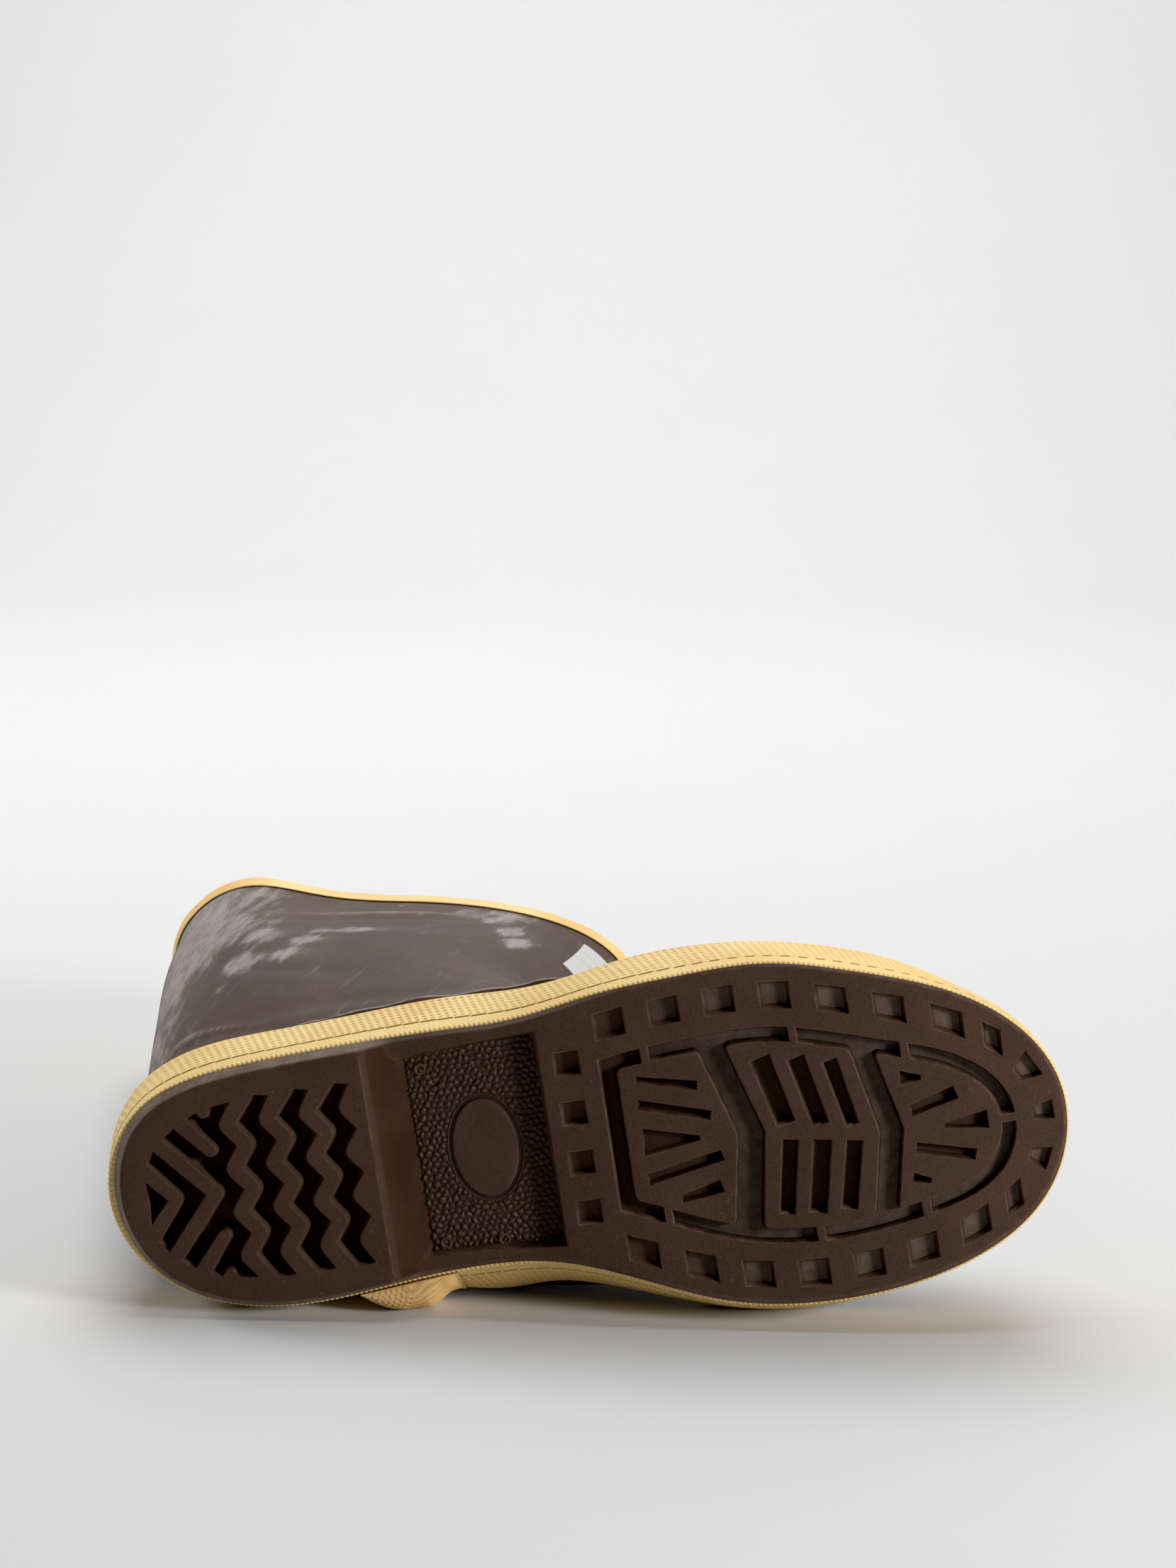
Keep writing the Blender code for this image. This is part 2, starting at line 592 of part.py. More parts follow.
def tread_face(columns):
    """Underside of the sole: its contours joined by triangles, each contour at its own height."""
    edge, _ = sole_edge(columns)
    count = len(columns)
    points = [tuple(point) for point in edge]
    heights = [0.0] * count
    lines = []
    for contour, height in heel_recesses() + shank_recesses() + rim_pockets() + forefoot_recesses():
        first = len(points)
        points += [tuple(point) for point in contour]
        heights += [height] * len(contour)
        lines += [(first + step, first + (step + 1) % len(contour)) for step in range(len(contour))]
    contour_lines = len(lines)
    for step in range(1, SIDE_COLUMNS):
        if HEEL_END - 1 < edge[step][0] < FOREFOOT_START + 15 or edge[step][0] > SPRING_START - 8:
            lines.append((step, count - step))
    flat, edges, faces, from_points, from_lines, from_faces = delaunay_2d_cdt(
        [Vector(point) for point in points], lines, [range(count)], 1, 1e-5, True)
    faces = [face for face, source in zip(faces, from_faces) if source]
    depth = np.zeros(len(flat))
    for (start, end), sources in zip(edges, from_lines):
        for source in sources:
            if source < contour_lines:
                depth[[start, end]] = heights[lines[source][0]]
    plan = np.array([tuple(point) for point in flat])
    return np.column_stack([plan, depth + tread_rise(plan[:, 0])]), faces, from_points


def make_outsole(parent):
    """Outsole with its tread, the side wall under the foxing, and the rebate that holds it."""
    columns = boot_columns()
    count = len(columns)
    edge, outward = sole_edge(columns)
    x = edge[:, 0]
    tread, faces, sources = tread_face(columns)
    place = {source: index for index, group in enumerate(sources) for source in group}
    low = side_height("foxing_low", x) - GAP
    wall = spline(SIDE["x"], SIDE["wall_out"], x)
    rings = [
        np.column_stack([edge + outward * wall[:, None], low]),
        side_ring(columns, low, 0.0),
        side_ring(columns, side_height("feather", x), 0.0),
    ]
    first = len(tread)
    points = np.concatenate([tread] + rings)
    quads = [face[::-1] for face in faces]
    for column in range(count):
        after = (column + 1) % count
        quads.append((place[column], place[after], first + after, first + column))
    quads += ring_faces(len(rings), count, first)
    quads += cap_faces(count, first + (len(rings) - 1) * count, upwards=True)
    return add_piece("outsole", points, quads, parent)


def make_upper(parent):
    """Upper and shaft in one hollow wall, open at the collar and under the foot."""
    columns = boot_columns()
    count = len(columns)
    edge, outward = sole_edge(columns)
    x = edge[:, 0]
    feather = side_ring(columns, side_height("feather", x) + GAP, 0.0)
    face = upper_face(columns, upper_heights())
    outer = np.concatenate([[feather], face])
    normals = face_normals(outer)
    level = np.column_stack([outward, np.zeros(count)])
    normals[:2] = level
    inner = outer - normals * UPPER_WALL
    inner[0, :, 2] = outer[0, :, 2]
    inner[-1, :, 2] = outer[-1, :, 2]
    return add_shell("upper", outer, inner, parent)


def upper_heights():
    """Heights, at the back, of the rows of the upper from the foxing to the collar."""
    collar = RINGS["back_z"][-1]
    return np.array([SIDE["foxing_top"][0], *UPPER_ROWS, collar - BINDING_LEG, collar])


def add_shell(name, outer, inner, parent):
    """Hollow wall between an outer and an inner stack of rings, closed along its two rims."""
    count = len(outer[0])
    points = np.concatenate([*outer, *inner])
    split = len(outer) * count
    faces = ring_faces(len(outer), count)
    faces += [face[::-1] for face in ring_faces(len(inner), count, split)]
    outer_top, inner_top = split - count, len(points) - count
    for column in range(count):
        after = (column + 1) % count
        faces.append((outer_top + column, outer_top + after, inner_top + after, inner_top + column))
        faces.append((after, column, split + column, split + after))
    return add_piece(name, points, faces, parent)


def foxing_face(columns):
    """Rings of the foxing's outer face, upwards over the ribbed strip, the groove and the band."""
    edge, _ = sole_edge(columns)
    low = side_height("foxing_low", edge[:, 0])
    top = side_height("foxing_top", edge[:, 0])
    groove = low + STRIP_HEIGHT
    strip_out = GAP + STRIP_THICKNESS
    band_out = GAP + BAND_THICKNESS
    return [side_ring(columns, height, stand_off) for height, stand_off in (
        (low, strip_out - EDGE_CHAMFER),
        (low + EDGE_CHAMFER, strip_out),
        (groove, strip_out),
        (groove + GROOVE_HEIGHT / 2, strip_out - GROOVE_DEPTH),
        (groove + GROOVE_HEIGHT, band_out),
        (top - EDGE_CHAMFER, band_out),
        (top, band_out - 2 * EDGE_CHAMFER),
    )]


def make_foxing(parent):
    """Foxing wrapped round the edge of the outsole and the foot of the upper."""
    columns = boot_columns()
    edge, _ = sole_edge(columns)
    inner = [side_ring(columns, side_height(line, edge[:, 0]), GAP)
             for line in ("foxing_low", "feather", "foxing_top")]
    return add_shell("foxing", foxing_face(columns), inner, parent)


def make_splice(parent):
    """Swelling over the lapped ends of the foxing, seated on the foxing's outer face."""
    columns = boot_columns()
    edge, outward = sole_edge(columns)
    inner_side = np.arange(len(columns) - 1, SIDE_COLUMNS, -1)
    stations = np.linspace(SPLICE_FROM, SPLICE_TO, SPLICE_STEPS + 1)
    place = np.interp(stations, edge[inner_side, 0], inner_side)
    before = np.floor(place).astype(int)
    share = (place - before)[:, None]
    face = foxing_face(columns)
    low, top = [face[ring][before] * (1 - share) + face[ring][before + 1] * share for ring in (1, -2)]
    normal = outward[before] * (1 - share) + outward[before + 1] * share
    normal = np.column_stack([normal, np.zeros(len(normal))])
    swell = np.sin(np.linspace(0, math.pi, len(stations))) ** 1.5
    seat, crown = [], []
    for height, fullness in zip(*SPLICE_ROWS.values()):
        seat.append(low + (top - low) * height + normal * (GAP + EDGE_CHAMFER))
        crown.append(seat[-1] + normal * (SPLICE_EDGE + SPLICE_BULGE * fullness * swell)[:, None])
    rows, steps = len(crown), len(stations)
    under = rows * steps
    faces = []
    for row in range(rows - 1):
        for step in range(steps - 1):
            corner = row * steps + step
            quad = (corner, corner + steps, corner + steps + 1, corner + 1)
            faces += [quad, tuple(index + under for index in quad[::-1])]
    grid = np.arange(under).reshape(rows, steps)
    rim = np.concatenate([grid[0], grid[1:, -1], grid[-1, -2::-1], grid[-2:0:-1, 0]]).tolist()
    for start, end in zip(rim, rim[1:] + rim[:1]):
        faces.append((start, end, end + under, start + under))
    return add_piece("foxing_splice", np.concatenate(crown + seat), faces, parent)


def make_binding(parent):
    """Binding folded over the rim of the collar, with a leg on each face of the wall."""
    columns = boot_columns()
    collar = RINGS["back_z"][-1]
    rows = upper_face(columns, np.array([collar - 2 * BINDING_LEG, collar - BINDING_LEG, collar]))
    normals = face_normals(rows)
    normals[..., 2] = 0
    normals /= np.linalg.norm(normals, axis=2, keepdims=True)
    leg, rim = rows[1], rows[2]
    leg_out, rim_out = normals[1], normals[2]
    inside = UPPER_WALL + 2 * GAP
    lift = np.array([0, 0, 1.0])
    outer = GAP + BINDING_THICKNESS
    over = [
        leg + leg_out * outer,
        rim + rim_out * outer,
        rim + rim_out * (outer - EDGE_CHAMFER) + lift * outer,
        rim - rim_out * (inside + BINDING_THICKNESS - EDGE_CHAMFER) + lift * outer,
        rim - rim_out * (inside + BINDING_THICKNESS),
        leg - leg_out * (inside + BINDING_THICKNESS),
    ]
    under = [
        leg + leg_out * GAP,
        rim + rim_out * GAP + lift * GAP,
        rim - rim_out * inside + lift * GAP,
        leg - leg_out * inside,
    ]
    return add_shell("collar_binding", over, under, parent)


def make_insole(parent):
    """Insole lying on the outsole, inside the upper."""
    columns = boot_columns()
    edge, _ = sole_edge(columns)
    base = side_height("feather", edge[:, 0]) + GAP
    margin = UPPER_WALL + 2 * GAP
    under = side_ring(columns, base, -margin)
    top = under + (0, 0, INSOLE_THICKNESS)
    count = len(columns)
    faces = ring_faces(2, count) + cap_faces(count, 0, False) + cap_faces(count, count, True)
    return add_piece("insole", np.concatenate([under, top]), faces, parent)


def lie_down(pose, pieces):
    """Lay the boot on its inner side, so that heel, ball and collar all touch the floor."""
    points = np.concatenate([[vertex.co for vertex in piece.data.vertices] for piece in pieces])
    x, z = points[:, 0] / MM, points[:, 2] / MM
    zones = [(x > near) & (x < far) & (z < FOOT_REST_TOP) for near, far in (HEEL_REST, BALL_REST)]
    zones.append(z > COLLAR_REST)
    turn = Matrix.Rotation(-math.pi / 2, 3, "X")
    for _ in range(SETTLING_STEPS):
        lying = points @ np.array(turn).T
        contacts = [Vector(lying[zone][np.argmin(lying[zone][:, 2])]) for zone in zones]
        floor = (contacts[1] - contacts[0]).cross(contacts[2] - contacts[0]).normalized()
        turn = floor.rotation_difference(Vector((0, 0, 1))).to_matrix() @ turn
    lying = points @ np.array(turn).T
    low, high = lying.min(axis=0), lying.max(axis=0)
    centre = (low + high) / 2
    pose.matrix_world = Matrix.Translation((-centre[0], -centre[1], -low[2])) @ turn.to_4x4()


def main():
    """Build every piece of the boot and lay it down."""
    for thing in list(bpy.data.objects):
        bpy.data.objects.remove(thing, do_unlink=True)
    pose = bpy.data.objects.new("lying_pose", None)
    bpy.context.scene.collection.objects.link(pose)
    pieces = [
        make_outsole(pose),
        make_upper(pose),
        make_foxing(pose),
        make_splice(pose),
        make_binding(pose),
        make_insole(pose),
    ]
    lie_down(pose, pieces)
    bpy.context.view_layer.update()


main()
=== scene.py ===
"""Looks of a right rubber deck boot that lies on its inner side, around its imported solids.

Inside the boot, lengths are millimetres in the boot's own frame: X runs from the heel to the toe, Y to the
inner side and Z from the ground up the shaft. The pose that the two tread mounts give lays each surface
down, in metres.
"""

import json
import logging
import math
from dataclasses import dataclass
from enum import Enum
from typing import Any, Callable, ClassVar

import bpy
import numpy as np
from mathutils import Matrix, Vector
from mathutils.geometry import delaunay_2d_cdt

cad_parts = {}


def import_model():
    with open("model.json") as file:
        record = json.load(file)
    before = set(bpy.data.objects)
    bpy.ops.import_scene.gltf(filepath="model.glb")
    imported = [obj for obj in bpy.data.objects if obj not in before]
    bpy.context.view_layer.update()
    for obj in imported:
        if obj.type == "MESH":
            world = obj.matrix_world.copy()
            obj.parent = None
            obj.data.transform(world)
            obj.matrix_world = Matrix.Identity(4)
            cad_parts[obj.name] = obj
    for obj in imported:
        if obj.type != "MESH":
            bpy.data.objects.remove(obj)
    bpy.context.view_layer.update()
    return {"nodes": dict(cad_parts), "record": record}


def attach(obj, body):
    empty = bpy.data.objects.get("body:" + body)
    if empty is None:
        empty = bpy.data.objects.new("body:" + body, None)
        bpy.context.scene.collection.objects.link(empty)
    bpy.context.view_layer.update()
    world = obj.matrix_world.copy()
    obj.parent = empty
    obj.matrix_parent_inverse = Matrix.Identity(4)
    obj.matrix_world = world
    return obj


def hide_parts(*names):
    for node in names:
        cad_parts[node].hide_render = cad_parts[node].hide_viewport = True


LOG = logging.getLogger("deck_boot")
MM = 0.001
BODY = "root"
Array = np.ndarray
Table = dict[str, Array]
Triple = tuple[float, float, float]
Colour = Triple
Distance = float | Callable[[Array], Array]
TREAD_MARKS = ("edge", "depth", "grime_and_shade", "dusty")


def table(columns: str, *rows: tuple[float, ...]) -> Table:
    """A short table with a row for each section, read back by the name of its column."""
    return dict(zip(columns.split(), np.array(rows, float).T))


def table_rows(columns: Table) -> list[dict[str, float]]:
    """Rows of a table, each read by the names of its columns."""
    return [dict(zip(columns, values)) for values in zip(*columns.values())]


def ease(value: Array | float, start: float, end: float) -> Array:
    """Smooth step, 3 t^2 - 2 t^3, from 0 at the start to 1 at the end."""
    share = np.clip((np.asarray(value, float) - start) / (end - start), 0, 1)
    return share * share * (3 - 2 * share)


def bell(value: Array, middle: float, spread: float) -> Array:
    """Bell curve, exp(-((v - middle) / spread)^2)."""
    return np.exp(-(((np.asarray(value, float) - middle) / spread) ** 2))


def turned_from(columns: Array, place: float = 0.0) -> Array:
    """Shortest turn from a place to each column, from minus half a turn to half a turn."""
    return (columns - place + math.pi) % (2 * math.pi) - math.pi


def level(directions: Array) -> Array:
    """Directions laid level, each of length 1."""
    flat = directions * (1.0, 1.0, 0.0)
    return flat / np.linalg.norm(flat, axis=-1, keepdims=True)


def spline(knots: Array, values: Array, at: Array) -> Array:
    """Natural cubic spline through rows of values.

    Args:
        knots: places of the rows, rising.
        values: one row of any shape for each knot.
        at: places to read.

    Returns:
        The rows read at those places.
    """
    knots, values, at = (np.asarray(item, float) for item in (knots, values, at))
    step = np.diff(knots)
    count = len(knots)
    slopes = np.diff(values, axis=0) / step.reshape(-1, *[1] * (values.ndim - 1))
    matrix = np.eye(count)
    inside = np.arange(1, count - 1)
    matrix[inside, inside - 1] = step[:-1]
    matrix[inside, inside] = 2 * (step[:-1] + step[1:])
    matrix[inside, inside + 1] = step[1:]
    bends = np.zeros_like(values)
    bends[1:-1] = 6 * np.diff(slopes, axis=0)
    bends = np.linalg.solve(matrix, bends.reshape(count, -1)).reshape(values.shape)
    span = np.clip(np.searchsorted(knots, at) - 1, 0, count - 2)
    shape = at.shape + (1,) * (values.ndim - 1)
    width = step[span].reshape(shape)
    right = ((at - knots[span]) / step[span]).reshape(shape)
    left = 1 - right
    curve = (left**3 - left) * bends[span] + (right**3 - right) * bends[span + 1]
    return left * values[span] + right * values[span + 1] + width**2 / 6 * curve


class Side(Enum):
    """Side of the foot, as the sign of Y."""

    OUTER = -1
    INNER = 1


@dataclass(frozen=True)
class Pose:
    """Place of the boot on the floor: a turn, and a shift in metres."""

    turn: Array
    shift: Array

    HEEL_MOUNT: ClassVar[tuple[float, ...]] = (45.0, -31.5, 0.0)
    FOREFOOT_MOUNT: ClassVar[tuple[float, ...]] = (178.0, -27.9, 0.0)

    @classmethod
    def from_record(cls, record: dict[str, Any]) -> "Pose":
        """Pose from the two tread mounts, whose places in the boot's frame are known.

        Args:
            record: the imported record.

        Returns:
            The pose that carries the boot's frame to the row's frame.
        """
        mounts = {mount["name"]: mount for mount in record["mounts"]}
        heel, fore = (np.array(mounts[name]["pos_m"]) for name in ("heel_tread", "forefoot_tread"))
        local_heel, local_fore = np.array(cls.HEEL_MOUNT) * MM, np.array(cls.FOREFOOT_MOUNT) * MM
        down = np.array(mounts["heel_tread"]["axis"])

        def basis(along: Array, normal: Array) -> Array:
            """Three square axes: along, the normal made square to it, and their cross product."""
            along = along / np.linalg.norm(along)
            normal = normal - along * (normal @ along)
            normal = normal / np.linalg.norm(normal)
            return np.stack([along, normal, np.cross(along, normal)], 1)

        turn = basis(fore - heel, down) @ basis(local_fore - local_heel, np.array([0.0, 0.0, -1.0])).T
        return cls(turn, heel - turn @ local_heel)

    def world(self, points: Array) -> Array:
        """Points of the boot's frame, in millimetres, carried to the row's frame, in metres."""
        return np.asarray(points, float).reshape(-1, 3) * MM @ self.turn.T + self.shift


@dataclass(frozen=True)
class BootForm:
    """Lasted form that every piece is built on: plan of the sole, its side, and rings of the upper."""

    length: float = 284.0
    gap: float = 0.3
    strip_thickness: float = 3.0
    edge_chamfer: float = 0.6
    heel_end: float = 77.7
    breast_end: float = 86.3
    forefoot_start: float = 150.0
    shank_rise: float = 5.4
    spring_start: float = 205.0
    spring: float = 9.0
    hump_place: float = 0.13
    hump_spread: float = 0.17
    forward: tuple[float, float] = (0.15, 0.75)
    edge_samples: int = 4001
    edge_step: float = 0.002

    SOLE: ClassVar[Table] = table(
        "x centre breadth", (0.0, -1.0, 0.0), (10.0, -0.4, 48.0), (25.0, 0.8, 64.6), (55.0, 1.4, 72.6),
        (85.0, -0.1, 71.6), (105.0, -0.6, 71.1), (125.0, -0.2, 73.3), (150.0, 1.7, 86.0), (175.0, 5.8, 98.4),
        (200.0, 8.1, 103.3), (225.0, 10.9, 97.2), (250.0, 12.9, 83.0), (270.0, 14.2, 59.2),
        (284.0, 14.0, 0.0))
    SIDE: ClassVar[Table] = table(
        "x foxing_low feather foxing_top wall_out", (0.0, 6.0, 20.0, 30.5, 1.8), (60.0, 6.0, 19.5, 30.0, 1.6),
        (90.0, 7.2, 18.5, 29.8, 1.2), (120.0, 5.3, 14.5, 29.0, 0.9), (150.0, 1.8, 11.0, 27.5, 0.8),
        (205.0, 1.2, 9.5, 26.0, 0.6), (284.0, 1.2, 10.0, 26.0, 0.6))
    FLARE: ClassVar[Table] = table(
        "x inner outer", (0.0, 2.4, 2.4), (25.0, 1.4, 3.8), (55.0, 1.0, 3.2), (90.0, 9.4, 4.6),
        (110.0, 13.2, 4.8), (125.0, 11.8, 4.0), (145.0, 10.2, 2.6), (170.0, 8.6, 3.4), (205.0, 7.4, 1.6),
        (235.0, 5.6, 1.0), (262.0, 4.4, -2.2), (284.0, -0.6, -0.6))
    RINGS: ClassVar[Table] = table(
        "back_x back_z front_x front_z heel_half fore_half heel_power fore_power heel_mid fore_mid "
        "twist hump",
        (-2.2, 46.0, 277.0, 47.0, 36.5, 47.0, 2.5, 2.4, 0.5, 9.5, 0.0, 0.0),
        (-2.6, 58.0, 263.0, 57.0, 36.0, 43.0, 2.4, 2.4, 0.4, 9.0, 0.0, 0.0),
        (-3.4, 70.0, 237.0, 65.5, 36.5, 40.0, 2.4, 2.3, 0.2, 8.0, 0.0, 0.0),
        (-4.2, 83.0, 204.0, 74.5, 37.3, 38.5, 2.4, 2.3, 0.0, 6.0, 0.0, 0.0),
        (-4.8, 97.0, 172.0, 87.5, 38.0, 37.5, 2.4, 2.3, -0.3, 4.0, 0.0, 0.0),
        (-5.3, 113.0, 148.0, 105.5, 38.5, 37.5, 2.4, 2.3, -0.8, 2.0, 0.5, 0.0),
        (-6.3, 133.0, 134.0, 129.0, 39.0, 38.0, 2.4, 2.3, -1.5, 0.2, 1.5, 0.3),
        (-8.5, 160.0, 129.0, 158.0, 39.0, 38.0, 2.4, 2.3, -1.7, -1.0, 3.0, 1.2),
        (-12.2, 205.0, 134.0, 204.0, 38.0, 37.0, 2.6, 2.3, -1.2, -1.0, 5.2, 4.0),
        (-15.4, 255.0, 144.0, 255.0, 35.6, 34.6, 3.0, 2.2, 0.3, 0.5, 7.2, 7.0),
        (-16.5, 305.0, 153.0, 305.0, 33.0, 32.4, 3.6, 2.15, 1.7, 1.7, 8.5, 9.6),
    )

    @property
    def collar(self) -> float:
        """Height of the collar's rim."""
        return float(self.RINGS["back_z"][-1])

    @property
    def foxing_back(self) -> float:
        """Height of the foxing's top at the back of the heel."""
        return float(self.SIDE["foxing_top"][0])

    def station_angle(self, x: Array | float) -> Array:
        """Angle whose cosine places a station along the sole, so that heel and toe come out round."""
        return np.arccos(np.clip(1 - 2 * np.asarray(x, float) / self.length, -1, 1))

    def columns(self, count: int) -> Array:
        """Angles round the boot, even along the edge of the sole: heel, outer side, toe, inner side."""
        angles = np.linspace(0, 2 * math.pi, self.edge_samples)
        place = self.girth(angles)
        return np.interp(np.linspace(0, place[-1], count, endpoint=False), place, angles)

    def girth(self, angles: Array) -> Array:
        """Length along the edge of the sole from the first angle to each one."""
        run = np.linalg.norm(np.diff(self.plan(angles), axis=0), axis=1)
        return np.concatenate([[0.0], np.cumsum(run)])

    def fold(self, columns: Array) -> tuple[Array, Array]:
        """Angle of the station of each column, and its side: -1 outer, +1 inner."""
        outer = columns <= math.pi
        return np.where(outer, columns, 2 * math.pi - columns), np.where(outer, -1.0, 1.0)

    def plan(self, columns: Array) -> Array:
        """Edge of the tread in plan: half the breadth out from the centre line, to each column's side."""
        angle, side = self.fold(columns)
        knots = self.station_angle(self.SOLE["x"])
        centre = spline(knots, self.SOLE["centre"], angle)
        half = spline(knots, self.SOLE["breadth"], angle) / 2
        return np.stack([self.length * (1 - np.cos(angle)) / 2, centre + side * half], -1)

    def edge(self, columns: Array) -> tuple[Array, Array]:
        """Edge of the tread in plan, with the outward direction, square to the run of the edge."""
        along = self.plan(columns + self.edge_step) - self.plan(columns - self.edge_step)
        outward = np.stack([along[:, 1], -along[:, 0]], -1)
        return self.plan(columns), outward / np.linalg.norm(outward, axis=1, keepdims=True)

    def toe_spring(self, x: Array) -> Array:
        """Lift of the toe, square of the share of the way from where it starts."""
        return self.spring * np.clip((x - self.spring_start) / (self.length - self.spring_start), 0, 1) ** 2

    def tread_rise(self, x: Array) -> Array:
        """Height of the tread above the ground, with the heel breast, the shank and the toe spring."""
        breast = np.clip((x - self.heel_end) / (self.breast_end - self.heel_end), 0, 1)
        shank = self.shank_rise * breast * (1 - ease(x, self.breast_end, self.forefoot_start))
        return shank + self.toe_spring(x)

    def side_height(self, name: str, x: Array) -> Array:
        """Height of a line along the side of the sole."""
        return spline(self.SIDE["x"], self.SIDE[name], x) + self.toe_spring(x)

    def wall_out(self, x: Array) -> Array:
        """How far the side wall of the sole stands out at the foxing."""
        return spline(self.SIDE["x"], self.SIDE["wall_out"], x)

    def side_rings(self, columns: Array, height: Array, stand_off: Array | float) -> Array:
        """Rings round the boot at given heights, outside the core that the foxing is wrapped on.

        The core leans out by the flare from the lower to the upper edge of the foxing.

        Args:
            columns: angles round the boot.
            height: heights, one row for each ring.
            stand_off: distance from the core, of the same shape or a single number.

        Returns:
            Points, one row for each ring.
        """
        edge, outward = self.edge(columns)
        x = edge[:, 0]
        flare = np.where(columns <= math.pi, *(spline(self.FLARE["x"], self.FLARE[name], x)
                                               for name in ("outer", "inner")))
        low = self.side_height("foxing_low", x)
        share = (height - low) / (self.side_height("foxing_top", x) - low)
        core = self.wall_out(x) + self.edge_chamfer - self.strip_thickness - self.gap
        out = core + flare * share + stand_off
        plan = edge + outward * out[..., None]
        return np.concatenate([plan, np.broadcast_to(height, out.shape)[..., None]], -1)

    def upper_rings(self, columns: Array) -> Array:
        """Rings of the outer face of the upper that the table gives, with the foxing's top ring first."""
        edge, _ = self.edge(columns)
        angle, side = self.fold(columns)
        share = (1 - np.cos(angle)) / 2
        forward = ease(share, *self.forward)
        rings = [self.side_rings(columns, self.side_height("foxing_top", edge[:, 0]), 0.0)]
        for ring in table_rows(self.RINGS):
            half, middle = (ring[f"heel_{key}"] + (ring[f"fore_{key}"] - ring[f"heel_{key}"]) * forward
                            for key in ("half", "mid"))
            x, z = (ring[f"back_{key}"] + share * (ring[f"front_{key}"] - ring[f"back_{key}"])
                    for key in ("x", "z"))
            power = np.where(np.cos(angle) > 0, ring["heel_power"], ring["fore_power"])
            cap = np.clip(1 - np.abs(np.cos(angle)) ** power, 0, 1) ** (1 / power)
            bump = ring["hump"] * cap * bell(share, self.hump_place, self.hump_spread)
            y = middle + side * cap * half - np.where(side < 0, bump, 0)
            cosine, sine = math.cos(math.radians(ring["twist"])), math.sin(math.radians(ring["twist"]))
            mid_x, mid_y = (ring["back_x"] + ring["front_x"]) / 2, ring["heel_mid"]
            dx, dy = x - mid_x, y - mid_y
            rings.append(np.stack([mid_x + dx * cosine - dy * sine, mid_y + dx * sine + dy * cosine, z], -1))
        return np.array(rings)

    def upper_face(self, columns: Array, heights: Array) -> Array:
        """Outer face of the upper: its rings joined by smooth curves and read at heights of the back."""
        knots = np.concatenate([[self.foxing_back], self.RINGS["back_z"]])
        return spline(knots, self.upper_rings(columns), heights)


def face_normals(face: Array) -> Array:
    """Outward directions of a face given as rows of closed rings: cross product of its two tangents."""
    around = np.roll(face, -1, 1) - np.roll(face, 1, 1)
    normals = np.cross(around, np.gradient(face, axis=0))
    return normals / np.linalg.norm(normals, axis=2, keepdims=True)


def grid_faces(rows: int, columns: int, ring: bool = True, tube: bool = False, first: int = 0) -> Array:
    """Quads of a grid of points.

    Args:
        rows: number of rows.
        columns: points in each row.
        ring: each row closes on itself.
        tube: the last row joins the first.
        first: index of the grid's first point.

    Returns:
        Four indices for each quad, facing outwards when closed rings rise.
    """
    row = np.arange(rows if tube else rows - 1)[:, None]
    column = np.arange(columns if ring else columns - 1)[None, :]
    after, below, above = (column + 1) % columns, row * columns, (row + 1) % rows * columns
    corners = (below + column, below + after, above + after, above + column)
    return np.stack(np.broadcast_arrays(*corners), -1).reshape(-1, 4) + first


def bridge(ring: Array, other: Array) -> Array:
    """Quads between two closed rings, each given by the indices of its points."""
    return np.stack([ring, np.roll(ring, -1), np.roll(other, -1), other], -1)


def slab_faces(rows: int, columns: int) -> Array:
    """Quads of a closed slab: a grid, the same grid turned over behind it, and the sides between them."""
    front, back = grid_faces(rows, columns, ring=False), rows * columns
    grid = np.arange(back).reshape(rows, columns)
    rim = np.concatenate([grid[0], grid[1:, -1], grid[-1, -2::-1], grid[-2:0:-1, 0]])
    return np.concatenate([front, front[:, ::-1] + back, bridge(rim + back, rim)])


def placed(name: str, data: bpy.types.ID) -> bpy.types.Object:
    """New object in the scene, at the origin."""
    item = bpy.data.objects.new(name, data)
    bpy.context.scene.collection.objects.link(item)
    return item


@dataclass(frozen=True)
class Workshop:
    """Turns arrays of points into pieces that ride on the boot's body."""

    pose: Pose

    def piece(self, name: str, points: Array, faces: list[Array], slot: str | None, replaces: str | None,
              materials: list[bpy.types.Material], marks: dict[str, Array] | None = None,
              flat_weight: bool = False, sharp: float | None = None) -> bpy.types.Object:
        """One finished piece.

        Args:
            name: name of the piece.
            points: points in the boot's frame, in millimetres.
            faces: arrays of faces; those of the second array take the second material.
            slot: the record's material slot, if any; not used.
            replaces: the CAD node that the piece stands for, if any.
            materials: its finishes.
            marks: values for each point, kept as attributes for the finish.
            flat_weight: weigh each point's normal by the area of its faces, which keeps flat lands flat.
            sharp: angle in degrees past which an edge stays sharp.

        Returns:
            The object, at the origin with its place in its mesh.
        """
        mesh = bpy.data.meshes.new(name)
        world = self.pose.world(points)
        mesh.from_pydata(world.tolist(), [], [face for part in faces for face in part.tolist()])
        for material in materials:
            mesh.materials.append(material)
        slots = np.minimum(np.arange(len(faces)), len(materials) - 1)
        which = np.repeat(slots, [len(part) for part in faces])
        mesh.polygons.foreach_set("material_index", which.astype(np.int32))
        for mark, values in (marks or {}).items():
            data = mesh.attributes.new(mark, "FLOAT", "POINT").data
            data.foreach_set("value", np.asarray(values, np.float32).ravel())
        mesh.shade_smooth()
        if sharp is not None:
            mesh.set_sharp_from_angle(angle=math.radians(sharp))
        if flat_weight:
            mesh.normals_split_custom_set_from_vertices(area_normals(world, faces).tolist())
        mesh.validate()
        piece = placed(name, mesh)
        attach(piece, BODY)
        if replaces:
            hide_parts(replaces)
        LOG.info("%s: %d faces", name, len(mesh.polygons))
        return piece


